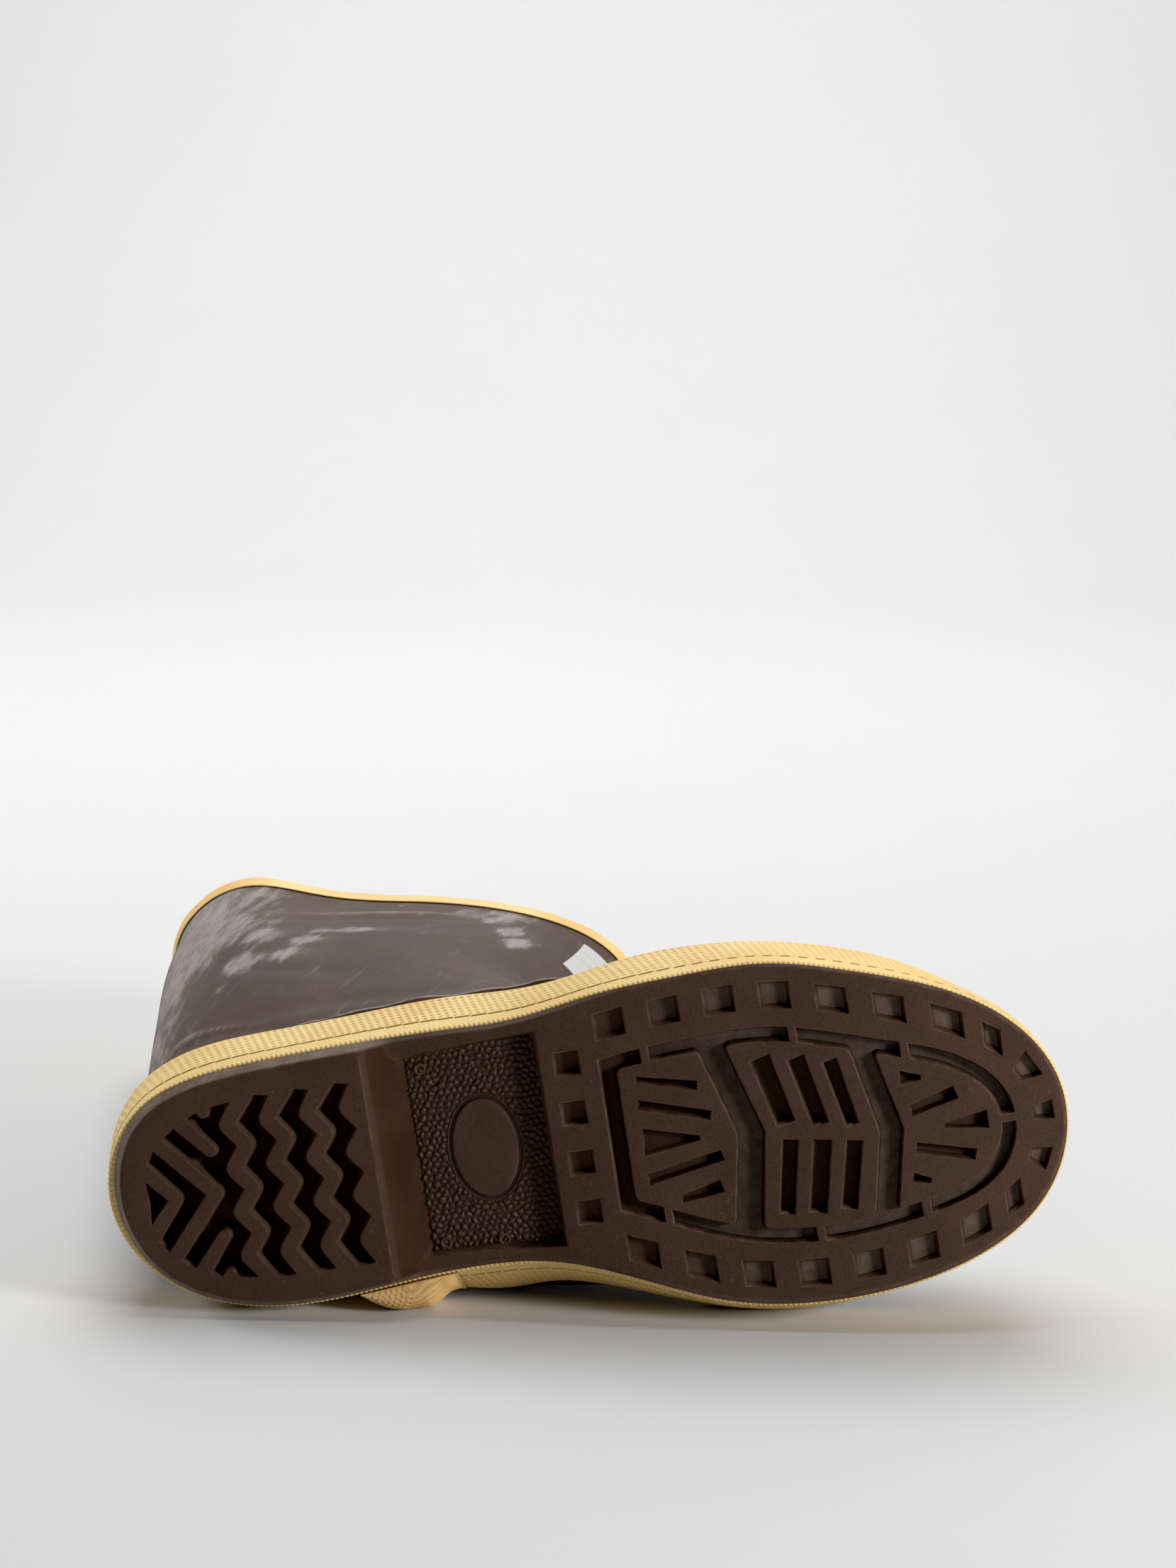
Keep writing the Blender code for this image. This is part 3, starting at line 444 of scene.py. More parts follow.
def area_normals(points: Array, faces: list[Array]) -> Array:
    """Normals of points, each the sum of its faces' normals weighed by their areas."""
    total = np.zeros_like(points)
    for part in faces:
        corners = points[part]
        normal = np.cross(corners[:, 2] - corners[:, 0], corners[:, -1] - corners[:, 1])
        for corner in range(part.shape[1]):
            np.add.at(total, part[:, corner], normal)
    return total / np.maximum(np.linalg.norm(total, axis=1, keepdims=True), 1e-12)


class Value:
    """A number in a material; arithmetic on it adds Math nodes."""

    def __init__(self, kit: "Kit", socket: bpy.types.NodeSocket) -> None:
        """Wrap one output of a node."""
        self.kit, self.socket = kit, socket

    def join(self, operation: str, first: "Value | float", second: "Value | float" = 0.0) -> "Value":
        """A Math node on two numbers."""
        node = self.kit.node("ShaderNodeMath", {"operation": operation}, {0: first, 1: second})
        return self.kit.value(node)

    def __add__(self, other: "Value | float") -> "Value":
        """Sum."""
        return self.join("ADD", self, other)

    def __sub__(self, other: "Value | float") -> "Value":
        """Difference."""
        return self.join("SUBTRACT", self, other)

    def __rsub__(self, other: float) -> "Value":
        """Difference from a plain number."""
        return self.join("SUBTRACT", other, self)

    def __mul__(self, other: "Value | float") -> "Value":
        """Product."""
        return self.join("MULTIPLY", self, other)

    __radd__ = __add__
    __rmul__ = __mul__

    def step(self, low: float, high: float) -> "Value":
        """Smooth step from 0 at the low value to 1 at the high one."""
        return self.kit.value(self.kit.node(
            "ShaderNodeMapRange", {"interpolation_type": "SMOOTHSTEP"},
            {"Value": self, "From Min": low, "From Max": high}))


class Kit:
    """Node tree of one material, on Object coordinates."""

    def __init__(self, name: str, **constants: float) -> None:
        """Start a material; the constants go straight on its shader's sockets."""
        self.material = bpy.data.materials.new(name)
        self.material.use_nodes = True
        self.tree = self.material.node_tree
        self.shader = self.tree.nodes["Principled BSDF"]
        for key, number in constants.items():
            self.feed(self.shader.inputs[key.replace("_", " ").title().replace("Ior", "IOR")], number)
        self.place = self.node("ShaderNodeTexCoord", {}, {}).outputs["Object"]

    def feed(self, socket: bpy.types.NodeSocket, value: Any) -> None:
        """Link a value or an output to a socket, or set a number, vector or colour on it."""
        if isinstance(value, Value):
            self.tree.links.new(value.socket, socket)
        elif isinstance(value, bpy.types.NodeSocket):
            self.tree.links.new(value, socket)
        elif socket.type == "RGBA":
            socket.default_value = (*value, 1.0)
        else:
            socket.default_value = value

    def node(self, kind: str, settings: dict[str, Any], sockets: dict[str | int, Any]) -> bpy.types.Node:
        """Any node.

        Args:
            kind: its type.
            settings: properties, set first.
            sockets: values or links of its inputs.

        Returns:
            The node.
        """
        node = self.tree.nodes.new(kind)
        for key, setting in settings.items():
            setattr(node, key, setting)
        for key, value in sockets.items():
            self.feed(node.inputs[key], value)
        return node

    def value(self, node: bpy.types.Node, output: str | int = 0) -> Value:
        """Output of a node as a number."""
        return Value(self, node.outputs[output])

    def mark(self, name: str) -> Value:
        """Attribute of the mesh, as a number."""
        return self.value(self.node("ShaderNodeAttribute", {"attribute_name": name}, {}), "Fac")

    def stretched(self, scale: Triple, turn: Triple = (0, 0, 0)) -> bpy.types.NodeSocket:
        """Object coordinates in axes that are turned, in degrees, and then scaled along each of them."""
        return self.node("ShaderNodeMapping", {"vector_type": "TEXTURE"}, {
            "Vector": self.place, "Rotation": tuple(math.radians(angle) for angle in turn),
            "Scale": tuple(1 / size for size in scale)}).outputs[0]

    def noise(self, scale: float, detail: float = 2.0, roughness: float = 0.5, place: Any = None) -> Value:
        """Noise whose spots are about 1 / scale metres across."""
        return self.value(self.node("ShaderNodeTexNoise", {}, {
            "Vector": place or self.place, "Scale": scale, "Detail": detail, "Roughness": roughness}))

    def blend(self, share: "Value | float", first: Any, second: Any) -> bpy.types.NodeSocket:
        """Colour between two colours."""
        return self.node("ShaderNodeMix", {"data_type": "RGBA"}, {0: share, 6: first, 7: second}).outputs[2]

    def finish(self, colour: Any, roughness: "Value | float", relief: Value | None = None,
               depth: float = 0.0002, strength: float = 0.4) -> bpy.types.Material:
        """Feed the shader.

        Args:
            colour: base colour.
            roughness: roughness.
            relief: height of the fine relief, 0 to 1, if any.
            depth: what a relief of 1 stands for, in metres.
            strength: share of the relief that shows.

        Returns:
            The material.
        """
        self.feed(self.shader.inputs["Base Color"], colour)
        self.feed(self.shader.inputs["Roughness"], roughness)
        if relief is not None:
            sockets = {"Height": relief, "Distance": depth, "Strength": strength}
            self.feed(self.shader.inputs["Normal"], self.node("ShaderNodeBump", {}, sockets).outputs[0])
        return self.material


@dataclass(frozen=True)
class TreadRubber:
    """Dark brown moulded rubber: even lands, reddish walls, pale edges of wear with painted highlights,
    painted shade with dirt deep in the hollows, and a little dusting with a painted sheen.
    """

    name: str = "tread_rubber"
    land: Colour = (0.050, 0.0262, 0.0168)
    cloud: Colour = (0.061, 0.033, 0.0222)
    wall: Colour = (0.058, 0.0252, 0.0100)
    breast: Colour = (0.029, 0.0100, 0.0020)
    grime_and_shade: Colour = (0.006, 0.0036, 0.0025)
    wear_and_highlight: Colour = (0.15, 0.10, 0.075)
    dust_and_sheen_tint: Colour = (0.20, 0.152, 0.122)
    dust_share: float = 0.30
    roughness: float = 0.62
    shine: float = 0.09
    grain: float = 0.45

    def material(self) -> bpy.types.Material:
        """Clouded brown; marks bring in wear with painted highlight lines, redder walls, the breast past
        depth 1, painted shade with dirt, and a dusting with a painted sheen.
        """
        kit = Kit(self.name, specular_ior_level=self.shine)
        cloud, fine = kit.noise(55, 3), kit.noise(1500, 3, 0.6)
        edge, depth, grime_and_shade, dusty = (kit.mark(name) for name in TREAD_MARKS)
        specks = kit.noise(620, 4, 0.75).step(0.60, 0.72) * kit.noise(38, 2).step(0.40, 0.62)
        colour = kit.blend(cloud.step(0.3, 0.7), self.land, self.cloud)
        colour = kit.blend(fine.step(0.35, 0.75) * 0.16, colour, self.wear_and_highlight)
        colour = kit.blend(depth * 0.85, colour, self.wall)
        colour = kit.blend((depth - 1) * (1.35 + 0.65 * cloud.step(0.35, 0.65)), colour, self.breast)
        # Painted shade: walls and floors deep in the hollows darken towards near-black, with some dirt.
        colour = kit.blend(grime_and_shade, colour, self.grime_and_shade)
        # Pale edges: wear on the lips, and a painted highlight line along the foot of each wall.
        colour = kit.blend(edge * kit.noise(260, 3).step(0.3, 0.7) * 0.6, colour, self.wear_and_highlight)
        # A dusting with a painted sheen lightens the floors of the hollows and the side wall.
        colour = kit.blend(dusty * (0.2 + 0.3 * kit.noise(240, 4, 0.65).step(0.3, 0.7)), colour, self.dust_and_sheen_tint)
        colour = kit.blend(specks * (1 - depth) * self.dust_share, colour, self.dust_and_sheen_tint)
        roughness = self.roughness + 0.16 * (cloud - 0.5) + 0.10 * specks - 0.05 * edge - 0.14 * dusty
        return kit.finish(colour, roughness, fine, 0.0003, self.grain)


@dataclass(frozen=True)
class UpperRubber:
    """Satin brown rubber of the upper with a pale streaky bloom and rubbed creases."""

    name: str = "upper_rubber"
    deep: Colour = (0.066, 0.042, 0.032)
    mid: Colour = (0.092, 0.061, 0.047)
    bloom: Colour = (0.34, 0.298, 0.280)
    rubbed: Colour = (0.42, 0.37, 0.34)

    def material(self) -> bpy.types.Material:
        """Brown clouds; bloom lies in patches and streaks along the shaft where the mesh's mark is strong."""
        kit = Kit(self.name, specular_ior_level=0.07)
        bloom, crease = kit.mark("bloom"), kit.mark("crease")
        patches = kit.noise(85, 4, 0.6, kit.stretched((1.0, 0.18, 1.0), (0, 0, -9)))
        streaks = kit.noise(280, 5, 0.70, kit.stretched((1.0, 0.15, 1.0), (0, 0, -12)))
        threads = kit.noise(700, 3, 0.6, kit.stretched((1.0, 0.05, 1.0), (0, 0, 3)))
        cloud = kit.noise(20, 3, 0.55, kit.stretched((1.0, 0.4, 1.0)))
        colour = kit.blend(cloud.step(0.32, 0.68), self.deep, self.mid)
        drawn = patches * 0.65 + streaks * 0.35
        veil = (drawn + bloom * 0.25).step(0.56, 0.74)
        film = veil * (0.40 + 0.34 * streaks.step(0.36, 0.62))
        film = film + bloom * 0.17 + streaks.step(0.52, 0.72) * 0.07
        colour = kit.blend(film, colour, self.bloom)
        colour = kit.blend(threads.step(0.62, 0.76) * (bloom * 0.3 + 0.04), colour, self.rubbed)
        colour = kit.blend(crease * kit.noise(160, 3, 0.6).step(0.25, 0.6), colour, self.rubbed)
        roughness = 0.52 + 0.16 * veil + 0.10 * (cloud - 0.5)
        relief = kit.noise(900, 3, 0.6) * 0.35 + streaks * 0.65
        return kit.finish(colour, roughness, relief, 0.0005, 0.30)


@dataclass(frozen=True)
class BandRubber:
    """Tan rubber of the foxing, its splice and the binding; dirt and a painted shade lie in its hollows."""

    name: str = "band_rubber"
    pale: Colour = (0.86, 0.615, 0.235)
    deep: Colour = (0.80, 0.54, 0.185)
    # Colour of the hollows: painted shade.
    hollow: Colour = (0.24, 0.125, 0.036)
    dirt: Colour = (0.16, 0.10, 0.05)
    dirt_share: float = 0.35
    roughness: float = 0.50
    grain: float = 0.25

    def material(self) -> bpy.types.Material:
        """Tan with soft clouds; the mesh's mark "hollow" darkens the colour as painted shade."""
        kit = Kit(self.name, specular_ior_level=0.42)
        cloud, fine = kit.noise(45, 3), kit.noise(1300, 3, 0.6)
        hollow = kit.mark("hollow")
        grime_and_shade = kit.noise(120, 4, 0.7).step(0.56, 0.78)
        colour = kit.blend(cloud.step(0.3, 0.7), self.pale, self.deep)
        colour = kit.blend(hollow * 0.85, colour, self.hollow)
        colour = kit.blend(grime_and_shade * (0.15 + 0.85 * hollow) * self.dirt_share, colour, self.dirt)
        roughness = self.roughness + 0.16 * (cloud - 0.5) + 0.10 * grime_and_shade
        return kit.finish(colour, roughness, fine, 0.0002, self.grain)


@dataclass(frozen=True)
class LiningCloth:
    """Knitted lining bonded to the inside of the upper, and the face of the insole."""

    name: str = "lining_cloth"
    yarn: Colour = (0.20, 0.155, 0.125)
    shade: Colour = (0.105, 0.080, 0.065)
    pitch: float = 0.0011

    def material(self) -> bpy.types.Material:
        """Two crossed rows of stitches, as the product of two sine waves, over soft clouds."""
        kit = Kit(self.name, specular_ior_level=0.2, sheen_weight=0.15)
        waves = [kit.value(kit.node("ShaderNodeTexWave", {"bands_direction": axis}, {
            "Vector": kit.place, "Scale": 0.314 / self.pitch, "Distortion": 1.2, "Detail": 1.0,
            "Detail Scale": 2.0}), "Fac") for axis in ("X", "Y", "Z")]
        stitch = waves[0] * waves[1] * 0.6 + waves[2] * 0.4
        cloud = kit.noise(30, 3)
        colour = kit.blend(stitch * 0.6 + cloud * 0.4, self.shade, self.yarn)
        return kit.finish(colour, 0.82 + 0.14 * cloud, stitch, 0.0004, 0.5)


@dataclass(frozen=True)
class LabelPaper:
    """Blank white label, a little soiled."""

    name: str = "label_paper"
    paper: Colour = (0.53, 0.53, 0.525)
    soiled: Colour = (0.46, 0.44, 0.43)

    def material(self) -> bpy.types.Material:
        """White with faint clouds and a fine tooth."""
        kit = Kit(self.name, specular_ior_level=0.35)
        cloud = kit.noise(90, 4, 0.6)
        colour = kit.blend(cloud.step(0.45, 0.8), self.paper, self.soiled)
        return kit.finish(colour, 0.48 + 0.2 * cloud, kit.noise(1800, 2), 0.0001, 0.3)


@dataclass(frozen=True)
class StudioPaper:
    """Pale seamless paper of the floor and backdrop."""

    name: str = "studio_paper"
    paper: Colour = (0.64, 0.64, 0.64)
    shade: Colour = (0.625, 0.625, 0.622)

    def material(self) -> bpy.types.Material:
        """Almost even pale grey."""
        kit = Kit(self.name, specular_ior_level=0.15)
        colour = kit.blend(kit.noise(6, 2), self.paper, self.shade)
        return kit.finish(colour, 0.85)


class RecessKind(Enum):
    """Kinds of hollow: depth in millimetres, painted shade with dirt on wall and floor, a dusting with a
    painted sheen on the floor, wear and painted highlight of the edge.
    """

    HEEL = (6.0, 0.05, 0.45, 0.0, 0.25)
    CHANNEL = (3.5, 0.85, 0.50, 0.62, 0.9)
    POCKET = (3.0, 0.30, 0.0, 0.95, 0.6)
    SLIT = (3.4, 0.60, 0.5, 0.1, 0.5)
    PANEL = (2.6, 0.10, 0.1, 0.0, 0.8)

    def __init__(self, depth: float, shade: float, grime_and_shade: float, dusty: float, wear_and_highlight: float) -> None:
        """Keep the five values under their names."""
        self.depth, self.shade, self.grime_and_shade, self.dusty, self.wear_and_highlight = depth, shade, grime_and_shade, dusty, wear_and_highlight


def inset(loop: Array, distance: float) -> Array:
    """Counter-clockwise loop moved in by a distance, each corner along the mitre of its two sides."""
    along = np.roll(loop, -1, 0) - loop
    along = along / np.linalg.norm(along, axis=1, keepdims=True)
    inward = np.stack([-along[:, 1], along[:, 0]], -1)
    before = np.roll(inward, 1, 0)
    reach = 1 + np.sum(inward * before, axis=1, keepdims=True)
    return loop + distance * (inward + before) / np.maximum(reach, 0.35)


def rounded(loop: Array, radius: float, steps: int = 5) -> Array:
    """Counter-clockwise loop whose re-entrant corners are cut by short parabolas.

    Each such corner becomes (1 - t)^2 A + 2 t (1 - t) V + t^2 B between points A and B on its two sides.

    Args:
        loop: corners.
        radius: distance of A and B from the corner.
        steps: points on each parabola.

    Returns:
        The loop with more points.
    """
    before, after = np.roll(loop, 1, 0) - loop, np.roll(loop, -1, 0) - loop
    length = [np.linalg.norm(side, axis=1) for side in (before, after)]
    turn = (before[:, 1] * after[:, 0] - before[:, 0] * after[:, 1]) / (length[0] * length[1])
    cut = turn < -0.2
    reach = np.where(cut, np.minimum(radius, 0.45 * np.minimum(*length)), 0)
    start, end = (loop + side * (reach / size)[:, None] for side, size in zip((before, after), length))
    share = np.linspace(0, 1, steps)[None, :, None]
    curve = ((1 - share) ** 2 * start[:, None] + 2 * share * (1 - share) * loop[:, None]
             + share**2 * end[:, None])
    return curve[cut[:, None] | (np.arange(steps) == 0)]


@dataclass(frozen=True)
class Recess:
    """A hollow of the tread: its edge, with rounded lips, sloping walls and a filleted floor."""

    loop: Array
    kind: RecessKind
    run: float = 0.7
    room: float = 9.0
    corner: float = 2.4

    LIP: ClassVar[Table] = table("out drop edge", (-0.34, 0.0, 0.0), (-0.10, 0.05, 1.0), (0.05, 0.28, 1.0))
    # The foot's edge value paints a highlight line where each wall meets the floor.
    FOOT: ClassVar[Table] = table("on lack edge", (-0.06, 0.22, 0.0), (0.05, 0.05, 0.4), (0.18, 0.0, 0.0))

    def outline(self) -> Array:
        """Edge of the hollow, counter-clockwise, with its re-entrant corners rounded."""
        loop = np.asarray(self.loop, float)
        after = np.roll(loop, -1, 0)
        area = np.sum(loop[:, 0] * after[:, 1] - after[:, 0] * loop[:, 1])
        return rounded(loop if area > 0 else loop[::-1], self.corner)

    def contours(self) -> list[tuple[Array, float, float]]:
        """Contours from lip to floor, each with its depth and its share of edge wear."""
        outline, depth = self.outline(), self.kind.depth
        scale = min(1.0, self.room / (self.run + self.FOOT["on"][-1]))
        lips = [(row["out"], row["drop"], row["edge"]) for row in table_rows(self.LIP)]
        feet = [(self.run + row["on"], depth - row["lack"], row["edge"]) for row in table_rows(self.FOOT)]
        return [(inset(outline, out * (scale if out > 0 else 1)), drop, edge)
                for out, drop, edge in lips + feet]


@dataclass(frozen=True)
class TreadPattern:
    """Where the hollows of the tread lie."""

    form: BootForm
    heel_axis: float = 0.9
    zigzag_first: float = 37.6
    zigzag_pitch: float = 12.1
    zigzag_width: float = 6.4
    zigzag_swing: float = 5.2
    tooth_pitch: float = 13.5
    teeth: int = 5
    grooves: int = 4
    square_x: float = 138.7
    square_first: float = -22.8
    square_pitch: float = 15.25
    square_size: tuple[float, float] = (7.6, 7.2)
    squares: int = 4
    rim_first: float = 153.0
    rim_pitch: float = 16.6
    rim_count: int = 7
    rim_length: float = 9.2
    rim_depth: float = 8.1
    rim_edge: float = 4.7
    rim_last: tuple[float, float] = (265.2, 5.2)
    toe_pocket_edge: float = 3.4
    toe_pocket_depth: float = 6.2
    channel_start: float = 148.0
    channel_edge: float = 18.3
    channel_toe_edge: float = 15.0
    channel_toe_start: float = 235.0
    channel_width: float = 4.4
    channel_cross_width: float = 5.2
    channel_step: float = 4.0
    web: float = 2.2
    heel_corner: float = 3.0
    panel: tuple[tuple[float, float], ...] = (
        (86.0, -31.0), (90.4, -31.0), (130.6, -33.6), (130.6, 32.4), (113.5, 31.2), (90.4, 30.7),
        (86.0, 30.6))

    FINGERS: ClassVar[Array] = np.array((
        (31.2, -25.4), (30.4, -22.6), (28.4, -22.3), (27.0, -24.4), (23.3, -23.0), (31.1, -13.2),
        (31.4, -11.6), (30.2, -10.4), (28.4, -10.6), (19.6, -20.6), (15.4, -18.0), (31.0, 0.0)))
    CHEVRON: ClassVar[Array] = np.array(((19.6, 0.9), (10.0, -11.0), (12.5, -14.6), (26.0, 0.9)))
    TRIANGLE: ClassVar[Array] = np.array(((8.5, -5.9), (14.5, 0.9)))
    GROOVE_ENDS: ClassVar[Table] = table(
        "place back_dx front_dx front_dy", (-27.4, 1.6, -0.4, 1.0), (29.2, 0.2, -0.8, -0.6))
    TOE_POCKETS: ClassVar[Table] = table(
        "angle half_outer half_inner", (-0.245, 4.6, 2.1), (0.0, 2.9, 1.9), (0.225, 3.5, 1.8))
    WEBS: ClassVar[tuple[float, ...]] = (162.0, 206.4, 238.6)
    CHEVRONS: ClassVar[Table] = table(
        "outer_x point_x point_y inner_x width",
        (181.8, 190.1, 6.3, 185.6, 8.4), (226.0, 231.6, 11.6, 226.8, 7.4))
    SLITS: ClassVar[Table] = table(
        "x0 y0 width0 x1 y1 width1",
        (158.4, -15.0, 1.6, 176.2, -10.6, 2.8), (157.8, -7.3, 3.0, 179.0, -1.0, 2.8),
        (157.8, 4.3, 8.6, 174.7, 5.3, 1.3), (157.6, 15.8, 3.3, 180.7, 11.4, 3.3),
        (166.6, 23.2, 2.2, 179.3, 20.7, 4.0), (195.7, -16.1, 6.4, 200.7, 4.8, 5.7),
        (206.3, -14.6, 5.6, 210.9, 6.6, 5.0), (216.1, -12.3, 4.7, 220.3, 8.2, 4.0),
        (201.3, 9.8, 5.0, 197.2, 32.1, 4.7), (210.8, 11.2, 5.6, 206.4, 33.1, 5.4),
        (220.2, 12.9, 5.0, 215.8, 33.3, 5.0), (236.1, -3.6, 4.4, 242.4, -2.8, 1.3),
        (238.0, 6.8, 3.3, 252.2, 3.4, 4.2), (247.3, 13.0, 1.3, 260.6, 13.2, 5.6),
        (238.0, 18.2, 3.4, 255.6, 23.3, 3.3), (235.9, 27.2, 3.4, 241.2, 28.9, 1.4))

    def turned_over(self, points: Array) -> Array:
        """Points turned over the heel's axis, in the opposite order."""
        return np.asarray(points)[::-1] * (1, -1) + (0, 2 * self.heel_axis)

    def zigzag(self, tip_x: float) -> Array:
        """Zigzag edge across the heel with its tips at tip_x, from the outer to the inner side."""
        step = np.arange(2 * self.teeth - 1)
        first = self.heel_axis - (self.teeth - 1) * self.tooth_pitch / 2
        return np.stack([tip_x - self.zigzag_swing * (step % 2), first + step * self.tooth_pitch / 2], -1)

    def heel(self) -> list[Recess]:
        """Three zigzag grooves, the first groove joined to its fingers, a chevron and a triangle."""
        found = []
        for groove in range(1, self.grooves):
            front = self.zigzag(self.zigzag_first + groove * self.zigzag_pitch)
            back = front - (self.zigzag_width, 0)
            for tip, end in zip((0, -1), table_rows(self.GROOVE_ENDS)):
                back[tip] = back[tip][0] + end["back_dx"], end["place"]
                front[tip] = front[tip][0] + end["front_dx"], end["place"] + end["front_dy"]
            found.append(Recess(np.concatenate([front, back[::-1]]), RecessKind.HEEL, run=1.4,
                                corner=self.heel_corner))
        fingers = np.concatenate([self.zigzag(self.zigzag_first)[::-1], self.FINGERS,
                                  self.turned_over(self.FINGERS)])
        chevron = np.concatenate([self.CHEVRON, self.turned_over(self.CHEVRON[1:3])])
        triangle = np.concatenate([self.TRIANGLE, self.turned_over(self.TRIANGLE[:1])])
        return [*found, Recess(fingers, RecessKind.HEEL, run=1.1, corner=self.heel_corner),
                Recess(chevron, RecessKind.HEEL, corner=self.heel_corner),
                Recess(triangle, RecessKind.HEEL, room=1.0)]

    def edge_line(self, side: Side, distance: Distance) -> Array:
        """Edge of the sole on one side, from heel to toe, moved in by a distance."""
        columns = np.linspace(0.02, math.pi - 0.002, 600)
        columns = columns if side is Side.OUTER else 2 * math.pi - columns
        edge, outward = self.form.edge(columns)
        reach = distance(edge[:, 0]) if callable(distance) else distance
        return edge - outward * np.broadcast_to(reach, len(edge))[:, None]

    def edge_y(self, x: Array, side: Side, distance: Distance = 0.0) -> Array:
        """Y of the sole's edge on one side at stations x, moved in by a distance."""
        line = self.edge_line(side, distance)
        return np.interp(x, line[:, 0], line[:, 1])

    def pockets(self) -> list[Recess]:
        """Square pockets: four across the waist, pairs along both sides, and three round the toe."""
        found = []
        half = np.array(self.square_size) / 2
        square = np.array([(-1, -1), (1, -1), (1, 1), (-1, 1)]) * half
        for index in range(self.squares):
            centre = (self.square_x, self.square_first + index * self.square_pitch)
            found.append(Recess(square + centre, RecessKind.POCKET, run=0.8))
        pairs = [(self.rim_first + pair * self.rim_pitch, self.rim_length) for pair in range(self.rim_count)]
        for middle, length in [*pairs, self.rim_last]:
            ends = np.array([middle - length / 2, middle + length / 2])
            for side in Side:
                near = self.edge_y(ends, side) - side.value * self.rim_edge
                far = near - side.value * self.rim_depth
                loop = np.column_stack([ends[[0, 1, 1, 0]], [near[0], near[1], far[1], far[0]]])
                found.append(Recess(loop, RecessKind.POCKET, run=0.9))
        for row in table_rows(self.TOE_POCKETS):
            edge, outward = (item[0] for item in self.form.edge(np.array([math.pi + row["angle"]])))
            near = edge - outward * self.toe_pocket_edge
            far = near - outward * self.toe_pocket_depth
            across = np.array([-outward[1], outward[0]])
            outer, inner = across * row["half_outer"], across * row["half_inner"]
            loop = np.array([near - outer, near + outer, far + inner, far - inner])
            found.append(Recess(loop, RecessKind.POCKET, room=1.1))
        return found

    def channel_reach(self, x: Array) -> Array:
        """Distance of the forefoot channel from the edge of the sole at stations x."""
        toe = ease(x, self.channel_toe_start, self.form.length)
        return self.channel_edge + (self.channel_toe_edge - self.channel_edge) * toe

    def channel_line(self, x: Array, side: Side, further: float = 0.0) -> Array:
        """Points at stations x on the edge of the forefoot channel, or further in from it."""
        return np.column_stack([x, self.edge_y(x, side, lambda place: self.channel_reach(place) + further)])

    def toe_arc(self, start: float, side: Side, further: float) -> Array:
        """Edge of the channel round the toe, from a station to the web at the tip."""
        line = self.edge_line(side, lambda place: self.channel_reach(place) + further)
        web = line[-1, 1] + side.value * self.web / 2
        inside = (line[:, 0] > start) & (side.value * (line[:, 1] - web) > 0)
        line = line[inside]
        place = np.concatenate([[0.0], np.cumsum(np.linalg.norm(np.diff(line, axis=0), axis=1))])
        at = np.linspace(0, place[-1], 16)
        return np.stack([np.interp(at, place, line[:, axis]) for axis in (0, 1)], -1)

    def stations(self, start: float, end: float) -> Array:
        """Stations along a stretch of the channel, both ends included."""
        return np.linspace(start, end, max(2, int((end - start) / self.channel_step) + 1))

    def channels(self) -> list[Recess]:
        """Channel round the islands in five stretches between webs, with two chevron channels across."""
        line, half_web, width, webs = self.channel_line, self.web / 2, self.channel_width, self.WEBS
        outer_run = self.stations(self.channel_start, webs[0] - half_web)
        inner_run = self.stations(self.channel_start + self.channel_cross_width, webs[0] - half_web)
        loops = [np.concatenate([
            line(outer_run, Side.OUTER)[::-1], line(outer_run, Side.INNER),
            line(inner_run, Side.INNER, width)[::-1], line(inner_run, Side.OUTER, width)])]
        for index, row in enumerate(table_rows(self.CHEVRONS)):
            start, end, half = webs[index] + half_web, webs[index + 1] - half_web, row["width"] / 2
            run, tip = self.stations(start, end), np.array([(row["point_x"], row["point_y"])])
            sides = ((Side.OUTER, row["outer_x"]), (Side.INNER, row["inner_x"]))
            before = [line(self.stations(start, x - half), side, width) for side, x in sides]
            after = [line(self.stations(x + half, end), side, width) for side, x in sides]
            loops.append(np.concatenate([
                line(run, Side.OUTER), after[0][::-1], tip + (half, 0), after[1],
                line(run, Side.INNER)[::-1], before[1], tip - (half, 0), before[0][::-1]]))
        start = webs[2] + half_web
        loops += [np.concatenate([self.toe_arc(start, side, 0.0), self.toe_arc(start, side, width)[::-1]])
                  for side in Side]
        return [Recess(loop, RecessKind.CHANNEL, corner=1.6) for loop in loops]

    def slits(self) -> list[Recess]:
        """Slits of the islands, as tapering bars from a start to an end."""
        found = []
        for row in table_rows(self.SLITS):
            start, end = np.array([row["x0"], row["y0"]]), np.array([row["x1"], row["y1"]])
            along = (end - start) / np.linalg.norm(end - start)
            across = np.array([-along[1], along[0]])
            one, two = across * row["width0"] / 2, across * row["width1"] / 2
            loop = np.array([start - one, end - two, end + two, start + one])
            found.append(Recess(loop, RecessKind.SLIT, room=0.42 * min(row["width0"], row["width1"])))
        return found

    def recesses(self) -> list[Recess]:
        """Every hollow of the tread, the shank's panel among them."""
        shank = Recess(np.array(self.panel), RecessKind.PANEL, run=1.2)
        return [*self.heel(), shank, *self.pockets(), *self.channels(), *self.slits()]


def within(points: Array, loop: Array) -> Array:
    """Which points lie inside a loop, by the parity of its crossings with a ray along X."""
    after = np.roll(loop, -1, 0)
    x, y = points[:, 0, None], points[:, 1, None]
    spans = (loop[:, 1] > y) != (after[:, 1] > y)
    rise = np.where(after[:, 1] == loop[:, 1], 1e-9, after[:, 1] - loop[:, 1])
    crossing = loop[:, 0] + (y - loop[:, 1]) * (after[:, 0] - loop[:, 0]) / rise
    return np.sum(spans & (x < crossing), axis=1) % 2 == 1


def clear_of(points: Array, loop: Array, distance: float) -> Array:
    """Which points keep a distance from every side of a loop."""
    side = np.roll(loop, -1, 0) - loop
    offset = points[:, None] - loop
    share = np.clip(np.sum(offset * side, 2) / np.maximum(np.sum(side**2, 1), 1e-9), 0, 1)
    return np.min(np.linalg.norm(offset - share[..., None] * side, axis=2), axis=1) > distance


